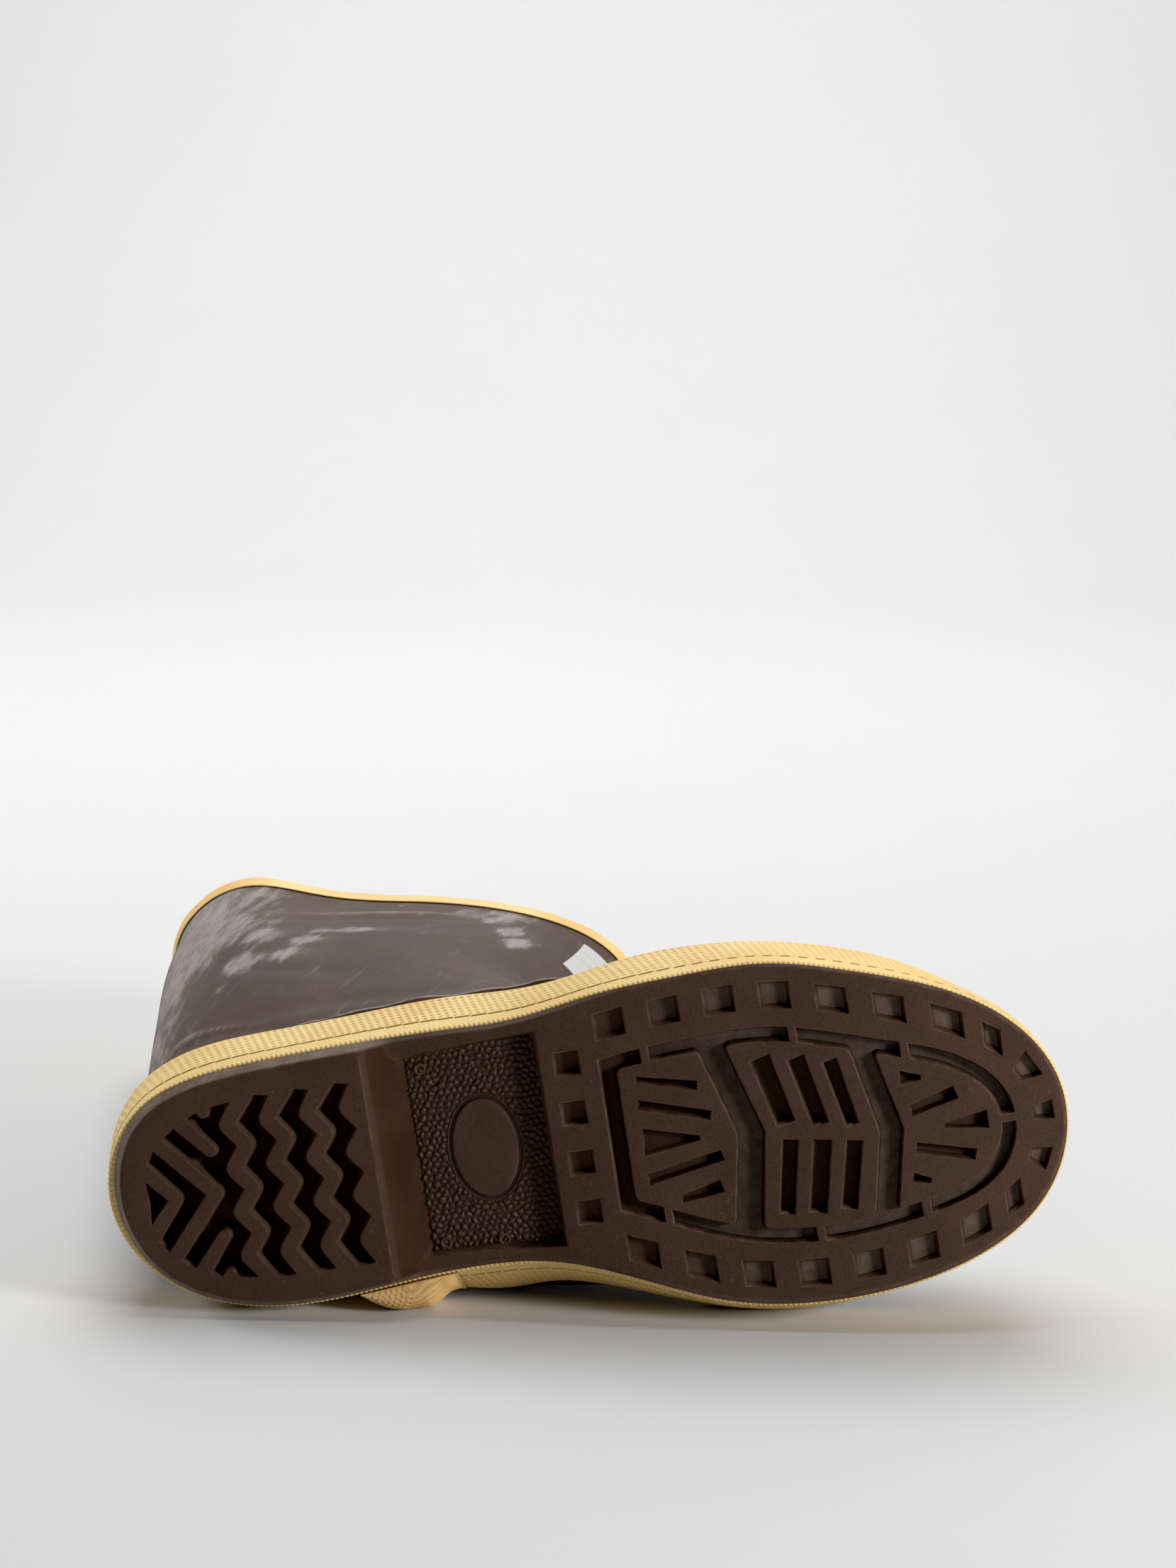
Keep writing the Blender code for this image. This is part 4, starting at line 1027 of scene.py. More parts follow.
@dataclass(frozen=True)
class Outsole:
    """Outsole: tread with its hollows, side wall under the foxing, and the rebate that holds it."""

    shop: Workshop
    form: BootForm
    pattern: TreadPattern
    rubber: TreadRubber
    columns: int = 360
    lattice: float = 4.0
    edge_round: float = 0.7
    panel_start: float = 90.4
    panel_floor: tuple[float, float] = (8.0, 7.0)
    breast_mark: float = 1.5
    ridge_wear: float = 0.8
    dust_and_sheen_from: tuple[float, float] = (145.0, 200.0)
    wall_shade: float = 0.2
    wall_tuck: float = 0.25
    span: tuple[float, float] = (-56.0, 68.0)
    clear: float = 1.0

    TRIM: ClassVar[Table] = table(
        "turn trim", (-3.14, 0.0), (-2.8, 0.6), (-2.3, 1.0), (-1.7, 0.9), (-1.35, 0.4), (-1.0, 0.7),
        (-0.5, 0.9), (0.0, 0.8), (0.35, 0.3), (0.6, 0.0), (3.14, 0.0))
    ROUND: ClassVar[tuple[tuple[float, float], ...]] = ((-0.22, 0.07), (0.0, 0.34))
    WALL_SHARES: ClassVar[tuple[float, ...]] = (0.2, 0.6, 0.95)
    # Rows of the side wall: edges of wear, and a dusting with a painted sheen, strongest at the heel.
    RIM: ClassVar[Table] = table(
        "edge dusty", (0.5, 0.0), (0.7, 0.3), (0.4, 1.5), (0.0, 1.7), (0.1, 1.5), (0.0, 0.6), (0.0, 0.0),
        (0.0, 0.0))

    def panel_depth(self, x: Array) -> Array:
        """Depth of the shank's panel below the tread: the breast ramps down to a nearly flat floor."""
        form = self.form
        stations = (form.heel_end, self.panel_start, self.pattern.panel[2][0])
        floor = np.interp(x, stations, (0.0, *self.panel_floor))
        return np.maximum(floor - form.tread_rise(x), np.where(x < self.panel_start, 0.05, 0.8))

    def panel_points(self, rim: Array) -> Array:
        """Points on the floor of the shank's panel: rows across it, closer where its ramp ends."""
        bend = self.panel_start + np.array([-2.2, -1.2, -0.5, 0, 0.5])
        stations = np.concatenate([bend, np.arange(95, 128, 8.0)])
        points = np.stack(np.meshgrid(stations, np.arange(-33, 33, 3.0)), -1).reshape(-1, 2)
        points = points[within(points, rim)]
        return points[clear_of(points, rim, 0.8)]

    def slope_share(self, points: Array) -> Array:
        """Share of the breast's finish at points of the land: full on the slope, none past its two bends."""
        x, start, end = points[:, 0], self.form.heel_end, self.form.breast_end
        return ease(x, start, start + 3) * (1 - ease(x, end - 1, end + 1))

    def on_breast(self, points: Array) -> Array:
        """Which points of the panel lie on the slope of the heel's breast."""
        return points[:, 0] < self.panel_start - 0.1

    def trim(self, columns: Array) -> Array:
        """How far the tread's edge lies inside the form's, by the turn from the heel (inner side below 0)."""
        return np.interp(turned_from(columns), self.TRIM["turn"], self.TRIM["trim"])

    def land_points(self, outline: Array, loops: list[Array]) -> tuple[Array, Array]:
        """Points on the land, clear of the outline and of every hollow.

        They are a wide lattice, and close rows along the two bends of the heel breast.

        Args:
            outline: edge of the flat of the tread.
            loops: edges of the hollows.

        Returns:
            The points, and 1 for those on the heel's worn bend, 0 elsewhere.
        """
        form, step = self.form, self.lattice
        bends = np.array([form.heel_end, form.breast_end])
        wide = np.meshgrid(np.arange(step, form.length, step), np.arange(*self.span, step))
        wide = np.stack(wide, -1).reshape(-1, 2)
        wide = wide[np.min(np.abs(wide[:, :1] - bends), axis=1) > 1.5]
        close = np.meshgrid((bends[:, None] + (-0.5, 0.0, 0.5)).ravel(), np.arange(*self.span, 1.5))
        points = np.concatenate([wide, np.stack(close, -1).reshape(-1, 2)])
        points = points[within(points, outline)]
        points = points[clear_of(points, outline, self.clear)]
        for loop in loops:
            points = points[~within(points, loop)]
            points = points[clear_of(points, loop, self.clear)]
        return points, (np.abs(points[:, 0] - form.heel_end) < 0.1).astype(float)

    def tread(self, outline: Array) -> tuple[Array, Array, Table]:
        """Tread as a web of triangles through the contours of its hollows, each at its own depth.

        Args:
            outline: edge of the flat of the tread.

        Returns:
            Points with the outline first, triangles, and the marks of each point.
        """
        form = self.form
        plans, depths, lines, outer = [], [], [], []
        marks = {name: [] for name in TREAD_MARKS}

        def add(points: Array, depth: Array | float, finish: dict[str, Any]) -> None:
            """Keep points with their depths and marks; a mark that isn't given is 0."""
            plans.append(points)
            depths.append(depth * np.ones(len(points)))
            for name, values in marks.items():
                values.append(finish.get(name, 0.0) * np.ones(len(points)))

        add(outline, 0.0, {"depth": self.slope_share(outline) * self.breast_mark})
        for recess in self.pattern.recesses():
            kind, contours = recess.kind, recess.contours()
            is_panel = kind is RecessKind.PANEL
            outer.append(contours[0][0])
            for contour, depth, edge in contours:
                x, share = contour[:, 0], depth / kind.depth
                bare, floor = is_panel & self.on_breast(contour), share > 0.999
                # Deeper into each hollow the colour darkens as painted shade with dirt; floors of pockets,
                # channels and slits take a dusting with a painted sheen towards the toe.
                finish = {"edge": edge * kind.wear_and_highlight,
                          "depth": np.interp(share, (0, 0.1, 0.85, 1), (0, 0.35, 1, 0.25)),
                          "grime_and_shade": ease(share, 0.25, 0.95) * (kind.grime_and_shade if floor else kind.shade),
                          "dusty": floor * kind.dusty * ease(x, *self.dust_and_sheen_from)}
                finish = {name: np.where(bare, self.breast_mark * (name == "depth"), value)
                          for name, value in finish.items()}
                ring = sum(map(len, plans)) + np.arange(len(contour))
                lines += np.stack([ring, np.roll(ring, -1)], -1).tolist()
                full = self.panel_depth(x) if is_panel else kind.depth
                add(contour, np.where(bare, 1.0, share) * full, finish)
            if is_panel:
                panel = self.panel_points(contours[-1][0])
                add(panel, self.panel_depth(panel[:, 0]), {"depth": self.on_breast(panel) * self.breast_mark})
        land, ridge = self.land_points(outline, outer)
        add(land, 0.0, {"depth": self.slope_share(land) * self.breast_mark, "edge": ridge * self.ridge_wear})
        plan = np.concatenate(plans)
        flat, _, faces, sources, _, inside = delaunay_2d_cdt(
            [Vector(point) for point in plan.tolist()], lines, [range(len(outline))], 1, 1e-6, True)
        made = [source[0] if source else -1 for source in sources]
        if -1 in made or len(made) != len(plan):
            LOG.warning("tread: %d points in, %d out, %d crossings", len(plan), len(made), made.count(-1))
        order = np.array(made)
        flat_plan = np.array([tuple(point) for point in flat])
        depth = np.concatenate(depths)[order]
        triangles = np.array([face[::-1] for face, source in zip(faces, inside) if source])
        points = np.column_stack([flat_plan, depth + form.tread_rise(flat_plan[:, 0])])
        outline_first = np.where(order < len(outline), order, len(plan) + np.arange(len(order)))
        rank = np.argsort(outline_first, kind="stable")
        place = np.empty(len(rank), int)
        place[rank] = np.arange(len(rank))
        marked = {name: np.concatenate(part)[order][rank] for name, part in marks.items()}
        return points[rank], place[triangles], marked

    def build(self) -> bpy.types.Object:
        """The outsole, closed: tread, rounded edge, side wall, rebate and the flat under the insole."""
        form = self.form
        columns = form.columns(self.columns)
        edge, outward = form.edge(columns)
        x, trim = edge[:, 0], self.trim(columns)
        edge = edge - outward * trim[:, None]
        tread, triangles, marks = self.tread(edge - outward * self.edge_round)
        rise, low = form.tread_rise(x), form.side_height("foxing_low", x) - form.gap
        wall = form.wall_out(x) + trim
        rings = [np.column_stack([edge + outward * out, rise + up]) for out, up in self.ROUND]
        foot = rise + self.ROUND[-1][1]
        rings += [np.column_stack([edge + outward * (wall * part)[:, None], foot + (low - foot) * part])
                  for part in self.WALL_SHARES]
        rings.append(np.column_stack([edge + outward * (wall - self.wall_tuck)[:, None], low]))
        rings += list(form.side_rings(columns, np.stack([low, form.side_height("feather", x)]), 0.0))
        count, first = len(columns), len(tread)
        near, half, last = np.arange(count), count // 2, first + (len(rings) - 1) * count
        step = np.arange(1, half - 1)
        cap = last + np.stack([step, step + 1, count - step - 1, count - step], -1)
        walls = [bridge(near, first + near), grid_faces(len(rings), count, first=first), cap]
        ends = last + np.array([(0, 1, count - 1), (half - 1, half, half + 1)])
        heel = 1 - 0.8 * ease(x, 70, 100)
        rim = {"edge": np.outer(self.RIM["edge"], np.ones(count)), "dusty": np.outer(self.RIM["dusty"], heel),
               "depth": np.full((len(rings), count), self.wall_shade), "grime_and_shade": np.zeros((len(rings), count))}
        marks = {name: np.concatenate([values, rim[name].ravel()]) for name, values in marks.items()}
        return self.shop.piece("outsole_tread", np.concatenate([tread, *rings]),
                               [triangles, np.concatenate(walls), ends], "outsole", "outsole",
                               [self.rubber.material()], marks, flat_weight=True)


@dataclass(frozen=True)
class ShankPanel:
    """Pebbled floor of the shank, its bare oval in a ring of groove, and three small vent rings."""

    shop: Workshop
    sole: Outsole
    rubber: TreadRubber
    oval_centre: tuple[float, float] = (110.6, 0.2)
    oval_radii: tuple[float, float] = (11.3, 16.5)
    pebble: float = 2.1
    relief: float = 0.85
    grid: float = 0.27
    thickness: float = 0.9
    seed: int = 7
    jitter: float = 0.30
    lean: float = 0.18
    tall: tuple[float, float] = (0.65, 1.0)
    dome: float = 1.3
    dome_power: float = 0.75
    lean_fade: float = 0.7
    margin: float = 0.9
    breadth: float = 64.0
    root: float = 0.6

    OVAL: ClassVar[Table] = table(
        "inward height", (-0.3, 0.3), (0.0, 0.6), (0.25, 0.5), (0.5, 0.12), (0.9, 0.05), (1.3, 0.12),
        (1.5, 0.75), (1.7, 0.95), (2.1, 1.0), (4.0, 1.0))
    VENTS: ClassVar[tuple[tuple[float, float], ...]] = ((94.6, -26.3), (94.3, 27.6), (111.9, 29.0))
    VENT: ClassVar[Table] = table(
        "radius height", (1.9, 0.0), (1.85, 0.8), (1.6, 1.15), (1.25, 1.1), (1.0, 0.7), (0.5, 0.55))

    def floor(self, x: Array) -> Array:
        """Height of the panel's floor at stations x."""
        return self.sole.form.tread_rise(x) + self.sole.panel_depth(x)

    def pebbles(self, plan: Array) -> Array:
        """Relief of packed pebbles: the gap between the nearest and the second nearest of jittered centres.

        Each pebble is a dome that falls to its borders and leans its own way.
        """
        chance = np.random.default_rng(self.seed)
        low, high = plan.reshape(-1, 2).min(0) - 4, plan.reshape(-1, 2).max(0) + 4
        across = np.arange(low[0], high[0], self.pebble)
        up = np.arange(low[1], high[1], self.pebble * 0.87)
        centres = np.stack(np.meshgrid(across, up), -1)
        centres[1::2, :, 0] += self.pebble / 2
        centres = centres.reshape(-1, 2)
        centres = centres + chance.uniform(-self.jitter, self.jitter, centres.shape) * self.pebble
        lean = chance.normal(0, self.lean, centres.shape)
        tall = chance.uniform(*self.tall, len(centres))
        relief = np.zeros(plan.shape[:2])
        for row, points in enumerate(plan):
            x = points[:, 0]
            which = np.flatnonzero(np.abs(centres[:, 0] - x.mean()) < 3 * self.pebble + np.ptp(x))
            reach = np.linalg.norm(points[:, None] - centres[which], axis=2)
            nearest = np.argsort(reach, axis=1)[:, :2]
            one, two = np.take_along_axis(reach, nearest, 1).T
            owner, border = which[nearest[:, 0]], two - one
            tilt = np.sum((points - centres[owner]) * lean[owner], 1)
            dome = np.clip(border / self.dome, 0, 1) ** self.dome_power * tall[owner]
            relief[row] = dome + tilt * np.clip(border / self.lean_fade, 0, 1)
        return relief

    def slab(self) -> bpy.types.Object:
        """Pebbled slab: a grid over the panel, its height the pebbles' relief, closed underneath."""
        corners = np.array(self.sole.pattern.panel)
        start, end = self.sole.panel_start + 0.2, corners[2, 0] - self.margin
        x = np.linspace(start, end, int((end - start) / self.grid))
        lower = np.interp(x, corners[:3, 0], corners[:3, 1]) + self.margin
        upper = np.interp(x, corners[:2:-1, 0], corners[:2:-1, 1]) - self.margin
        share = np.linspace(0, 1, int(self.breadth / self.grid))
        y = lower[:, None] + (upper - lower)[:, None] * share
        plan = np.stack(np.broadcast_arrays(x[:, None], y), -1)
        away = np.hypot(*((plan - self.oval_centre) / self.oval_radii).transpose(2, 0, 1))
        relief = self.pebbles(plan) * ease(away, 0.99, 1.05)
        base = self.floor(plan[..., 0])
        top = np.concatenate([plan, (base - 0.15 - self.relief * relief)[..., None]], -1)
        under = np.concatenate([plan, (base + self.thickness)[..., None]], -1)
        # Painted shade darkens the gaps between pebbles, with a redder tint.
        hollow = 1 - np.clip(relief * 1.3, 0, 1)
        full = np.ones_like(hollow)
        marks = {"edge": np.stack([np.clip(relief - 0.75, 0, 1), 0 * full]),
                 "depth": np.stack([0.3 + hollow * 0.2, full]),
                 "grime_and_shade": np.stack([hollow * 0.6, full]), "dusty": np.stack([0 * full, 0 * full])}
        return self.shop.piece("shank_pebbles", np.stack([top, under]), [slab_faces(*hollow.shape)],
                               "outsole", None, [self.rubber.material()], marks)

    def disc(self, name: str, centre: tuple[float, float], radii: list[tuple[float, float]], heights: Array,
             edges: Array, material: bpy.types.Material) -> bpy.types.Object:
        """Round boss: a profile of radii and heights turned about its centre, closed on both faces."""
        turn = np.linspace(0, 2 * math.pi, 96 if len(heights) > 8 else 32, endpoint=False)
        ring = np.stack([np.cos(turn), np.sin(turn)], -1)
        plan = np.array(centre) + ring[None] * np.array(radii)[:, None]
        base = self.floor(plan[..., 0])
        rows = np.concatenate([plan, (base - heights[:, None])[..., None]], -1)
        root = np.concatenate([plan[0], (base[0] + self.root)[:, None]], -1)
        rows = np.concatenate([root[None], rows])
        count = len(turn)
        floor = float(self.floor(np.array([centre[0]]))[0])
        middle = np.array([[*centre, floor - heights[-1]], [*centre, floor + self.root]])
        faces = grid_faces(len(rows), count)[:, ::-1]
        near = np.arange(count)
        after, last, hub = (near + 1) % count, (len(rows) - 1) * count, len(rows) * count
        fans = np.concatenate([np.stack([last + after, last + near, np.full(count, hub)], -1),
                               np.stack([near, after, np.full(count, hub + 1)], -1)])
        points = np.concatenate([rows.reshape(-1, 3), middle])
        wear = np.concatenate([np.repeat(np.concatenate([[0.0], edges]), count), [0.0, 0.0]])
        # Painted shade darkens the lowest rows: the groove round the oval and the foot of each vent ring.
        sunk = np.clip(0.9 - 1.5 * np.insert(heights, 0, 0.0), 0, 1)
        low = np.concatenate([np.repeat(sunk, count), [0.0, 1.0]])
        return self.shop.piece(name, points, [faces, fans], "outsole", None, [material],
                               {"edge": wear, "depth": 0.1 + 0 * wear, "grime_and_shade": low, "dusty": 0 * wear})

    def build(self, material: bpy.types.Material) -> None:
        """Slab, and the oval and vent rings in the tread's material."""
        self.slab()
        inward, heights = self.OVAL["inward"], self.OVAL["height"]
        radii = [(self.oval_radii[0] - value, self.oval_radii[1] - value) for value in inward]
        self.disc("shank_oval", self.oval_centre, radii, heights, bell(inward, 1.8, 0.25) * 0.6, material)
        for index, centre in enumerate(self.VENTS):
            radii = [(value, value) for value in self.VENT["radius"]]
            self.disc(f"shank_vent_{index}", centre, radii, self.VENT["height"],
                      bell(self.VENT["radius"], 1.5, 0.3) * 0.8, material)


@dataclass(frozen=True)
class Foxing:
    """Foxing round the sole: a ribbed strip below, a dashed groove, and a band of small pits above."""

    shop: Workshop
    form: BootForm
    rubber: BandRubber
    band_thickness: float = 3.1
    rib_pitch: float = 1.5
    rib_depth: float = 0.45
    rib_slant: float = 0.45
    groove: float = 6.75
    dash_pitch: float = 5.2
    dash_gap: tuple[float, float] = (0.5, 2.4)
    pit_pitch: float = 2.3
    pit_slant: float = 0.22
    pit_rows: int = 7
    pit_depth: float = 0.5
    heel_swell: float = 1.5
    strip_columns: int = 3400
    band_columns: int = 2000

    STRIP: ClassVar[Table] = table(
        "height out rib",
        (0.10, -2.9, 0.0), (0.0, -1.0, 0.5), (0.12, -0.35, 1.0), (0.5, 0.0, 0.9), (1.1, 0.0, 0.5),
        (2.2, 0.0, 0.42), (3.4, 0.0, 0.42), (4.6, 0.0, 0.42), (5.6, 0.0, 0.3), (6.1, -0.03, 0.1),
        (6.4, -0.15, 0.0), (6.6, -0.35, 0.0), (6.7, -0.5, 0.0), (6.7, -2.9, 0.0))
    BAND_FOOT: ClassVar[Table] = table(
        "height out", (0.0, -2.8), (0.0, -0.55), (0.10, -0.35), (0.22, -0.10), (0.4, -0.02), (0.6, 0.0))
    BAND_TOP: ClassVar[Table] = table(
        "height out", (-0.6, 0.0), (-0.35, -0.08), (-0.12, -0.35), (0.0, -0.8), (0.0, -2.8))

    def strip_out(self) -> float:
        """Distance of the strip's face from the core."""
        return self.form.gap + self.form.strip_thickness

    def band_out(self) -> float:
        """Distance of the band's face from the core."""
        return self.form.gap + self.band_thickness

    def along(self, columns: Array, pitch: float) -> tuple[Array, float]:
        """Place of each column along the edge, and a pitch that goes evenly into the whole girth."""
        place = self.form.girth(np.append(columns, 2 * math.pi))
        return place[:-1], place[-1] / round(place[-1] / pitch)

    def swell(self, columns: Array) -> Array:
        """How far the foxing stands out more at the very back of the heel, a bell along the edge."""
        return self.heel_swell * bell(turned_from(columns), -0.03, 0.28)

    def dashes(self, columns: Array, place: Array) -> tuple[Array, Array]:
        """Dashed groove: how open it is along the edge, and how far each dash leans up at one end.

        The gaps between the dashes are short from the heel to the waist and long round the forefoot.
        """
        _, pitch = self.along(columns, self.dash_pitch)
        within_dash = (place / pitch) % 1.0
        fore = ease(self.form.plan(columns)[:, 0], 150, 195)
        gap = (self.dash_gap[0] + (self.dash_gap[1] - self.dash_gap[0]) * fore) / pitch
        opened = 1 - ease((np.abs(within_dash - 0.5) - 0.5 + gap / 2) * pitch, -0.15, 0.15)
        return opened, (within_dash - 0.5) * 0.4

    def tube(self, name: str, rows: Array, hollow: Array, material: bpy.types.Material) -> bpy.types.Object:
        """Piece whose closed profile goes once round the sole."""
        return self.shop.piece(name, rows, [grid_faces(*rows.shape[:2], tube=True)], "foxing", "foxing",
                               [material], {"hollow": hollow})

    def strip(self, material: bpy.types.Material) -> bpy.types.Object:
        """Strip: its profile carried round the sole, with slanted ribs as a rounded cosine wave."""
        form = self.form
        columns = form.columns(self.strip_columns)
        place, pitch = self.along(columns, self.rib_pitch)
        opened, lean = self.dashes(columns, place)
        low = form.side_height("foxing_low", form.plan(columns)[:, 0])
        height, out, rib = (self.STRIP[name][:, None] for name in ("height", "out", "rib"))
        wave = np.cos(2 * math.pi * (place + self.rib_slant * height) / pitch)
        valley = rib * (0.5 - 0.5 * wave) ** 1.6
        groove = (height > 6.2) & (out > -2)
        profile = np.where(groove, out * (0.15 + 0.85 * opened), out) - self.rib_depth * valley
        stand_off = self.strip_out() + profile + np.where(out > -2, self.swell(columns), 0)
        rows = form.side_rings(columns, low + height + np.where(height > 5.0, lean, 0), stand_off)
        # Painted shade: the rib valleys and the open dashes of the groove take the darker hollow colour.
        hollow = np.where(groove, opened * np.ones_like(out), valley * np.where(height < 0.4, 0.8, 0.4))
        return self.tube("foxing_strip", rows, hollow, material)

    def band(self, material: bpy.types.Material) -> bpy.types.Object:
        """Band: its profile carried round the sole, with pits in rows and columns and faint ridges."""
        form = self.form
        columns = form.columns(self.band_columns)
        place, pitch = self.along(columns, self.pit_pitch)
        x = form.plan(columns)[:, 0]
        low, top = form.side_height("foxing_low", x), form.side_height("foxing_top", x)
        within_row = np.array([0.0, 0.36, 0.45, 0.55, 0.64])
        share = (np.arange(self.pit_rows)[:, None] + within_row).ravel()[1:, None] / self.pit_rows
        foot, head = (edge["height"][:, None] for edge in (self.BAND_FOOT, self.BAND_TOP))
        start, end = low + self.groove + self.BAND_FOOT["height"][-1], top + self.BAND_TOP["height"][0]
        heights = np.concatenate([low + self.groove + foot, start + (end - start) * share, top + head])
        out = np.concatenate([self.BAND_FOOT["out"], np.zeros(len(share)), self.BAND_TOP["out"]])[:, None]
        opened, lean = self.dashes(columns, place)
        at_foot = np.arange(len(heights))[:, None] < len(foot)
        rise = (heights - start) / (end - start) * self.pit_rows
        face = (rise > 0.02) & (rise < self.pit_rows - 0.02) & (out > -0.01)
        off_row = (rise % 1.0 - 0.5) * (end - start) / self.pit_rows
        off_column = (((place + self.pit_slant * (heights - start)) / pitch) % 1.0 - 0.5) * pitch
        pit = np.exp(-((off_column / 0.62) ** 4) - (off_row / 0.25) ** 4) * face
        furrow = (0.5 + 0.5 * np.cos(2 * math.pi * off_column / pitch)) ** 2 * face
        drift = 0.10 * np.sin(place / 23.0) + 0.06 * np.sin(place / 7.3 + heights / 5.0)
        stand_off = self.band_out() + np.where(at_foot & (out > -2), out * (0.1 + 0.9 * opened), out)
        stand_off = stand_off - self.pit_depth * pit - 0.08 * furrow
        ripple = np.where(rise > self.pit_rows - 0.5, 0.3 * np.sin(place / 9.0), 0)
        heights = heights + np.where(at_foot, lean, 0) + ripple
        stand_off = stand_off + np.where(out > -2, self.swell(columns), 0)
        rows = form.side_rings(columns, heights, stand_off + np.where(face, drift, 0))
        # Painted shade: the pits, faint furrows and the open dashes of the groove take the darker hollow
        # colour.
        hollow = np.clip(0.95 * pit + 0.09 * furrow + np.where(at_foot, opened * (out < -0.05), 0), 0, 1)
        return self.tube("foxing_band", rows, hollow, material)

    def build(self) -> None:
        """Strip and band in the same rubber."""
        material = self.rubber.material()
        self.strip(material)
        self.band(material)


@dataclass(frozen=True)
class FoxingSplice:
    """Leaf-shaped lap over the ends of the foxing, on the inner side of the heel breast."""

    shop: Workshop
    foxing: Foxing
    rubber: BandRubber
    start: float = 66.0
    end: float = 96.0
    bulge: float = 6.6
    lip: float = 0.7
    chamfer: float = 0.6
    steps: int = 150
    rows: int = 84

    def build(self) -> bpy.types.Object:
        """The lap: a sine swelling along by a sine up, with wavy striations, and pits at its heel end."""
        form, foxing = self.foxing.form, self.foxing
        share = np.linspace(0, 1, self.steps)
        columns = 2 * math.pi - form.station_angle(self.start + (self.end - self.start) * share)
        x = form.plan(columns)[:, 0]
        _, outward = form.edge(columns)
        low = form.side_rings(columns, form.side_height("foxing_low", x) + self.chamfer, foxing.strip_out())
        top = form.side_rings(columns, form.side_height("foxing_top", x) - self.chamfer, foxing.band_out())
        turn = np.linspace(0, 1, self.rows)[:, None]
        up = (1 - np.cos(math.pi * turn)) / 2
        full = np.sin(math.pi * turn**0.8) ** 0.75
        swell = (1 - np.clip(1 - share / 0.42, 0, 1) ** 2.2) * (1 - ease(share, 0.62, 0.97))
        wave = turn * 13 + 0.55 * np.sin(share * 9.0) + 0.30 * np.sin(share * 21.0 + turn * 5)
        striae = np.sin(2 * math.pi * wave) * ease(share, 0.30, 0.50)
        courses = turn * 16
        brick = np.sin(math.pi * (34 * share + np.floor(courses))) * np.sin(2 * math.pi * courses)
        knurl = np.clip(brick, 0, 1) * (1 - ease(share, 0.40, 0.55)) * ease(share, 0.02, 0.1)
        fold = 0.4 * bell(share, 0.84, 0.05) * (0.6 + 0.4 * np.sin(turn * 6))
        rise = full * (self.lip * (1 - ease(share, 0.9, 1.0)) + self.bulge * swell)
        rise = rise + 0.20 * striae - 0.45 * knurl - 0.9 * fold * swell**0.3
        normal = np.column_stack([outward, np.zeros(len(x))])
        ahead = np.array([0, 0, -1.0]) * (1.6 * swell * bell(turn, 0.25, 0.3))[..., None]
        seat = low + (top - low) * up[..., None] + normal * form.gap
        crown = seat + normal * np.maximum(rise, 0.1)[..., None] + ahead
        # Painted shade: the striations, the knurled pits and the fold take the darker hollow colour.
        hollow = np.clip(0.5 * (0.5 - 0.5 * striae) * ease(share, 0.30, 0.50) + knurl + 0.6 * fold, 0, 1)
        faces = slab_faces(self.rows, self.steps)[:, ::-1]
        return self.shop.piece("foxing_lap", np.stack([crown, seat]), [faces], "foxing_splice",
                               "foxing_splice", [self.rubber.material()],
                               {"hollow": np.stack([hollow, np.ones_like(hollow)])})


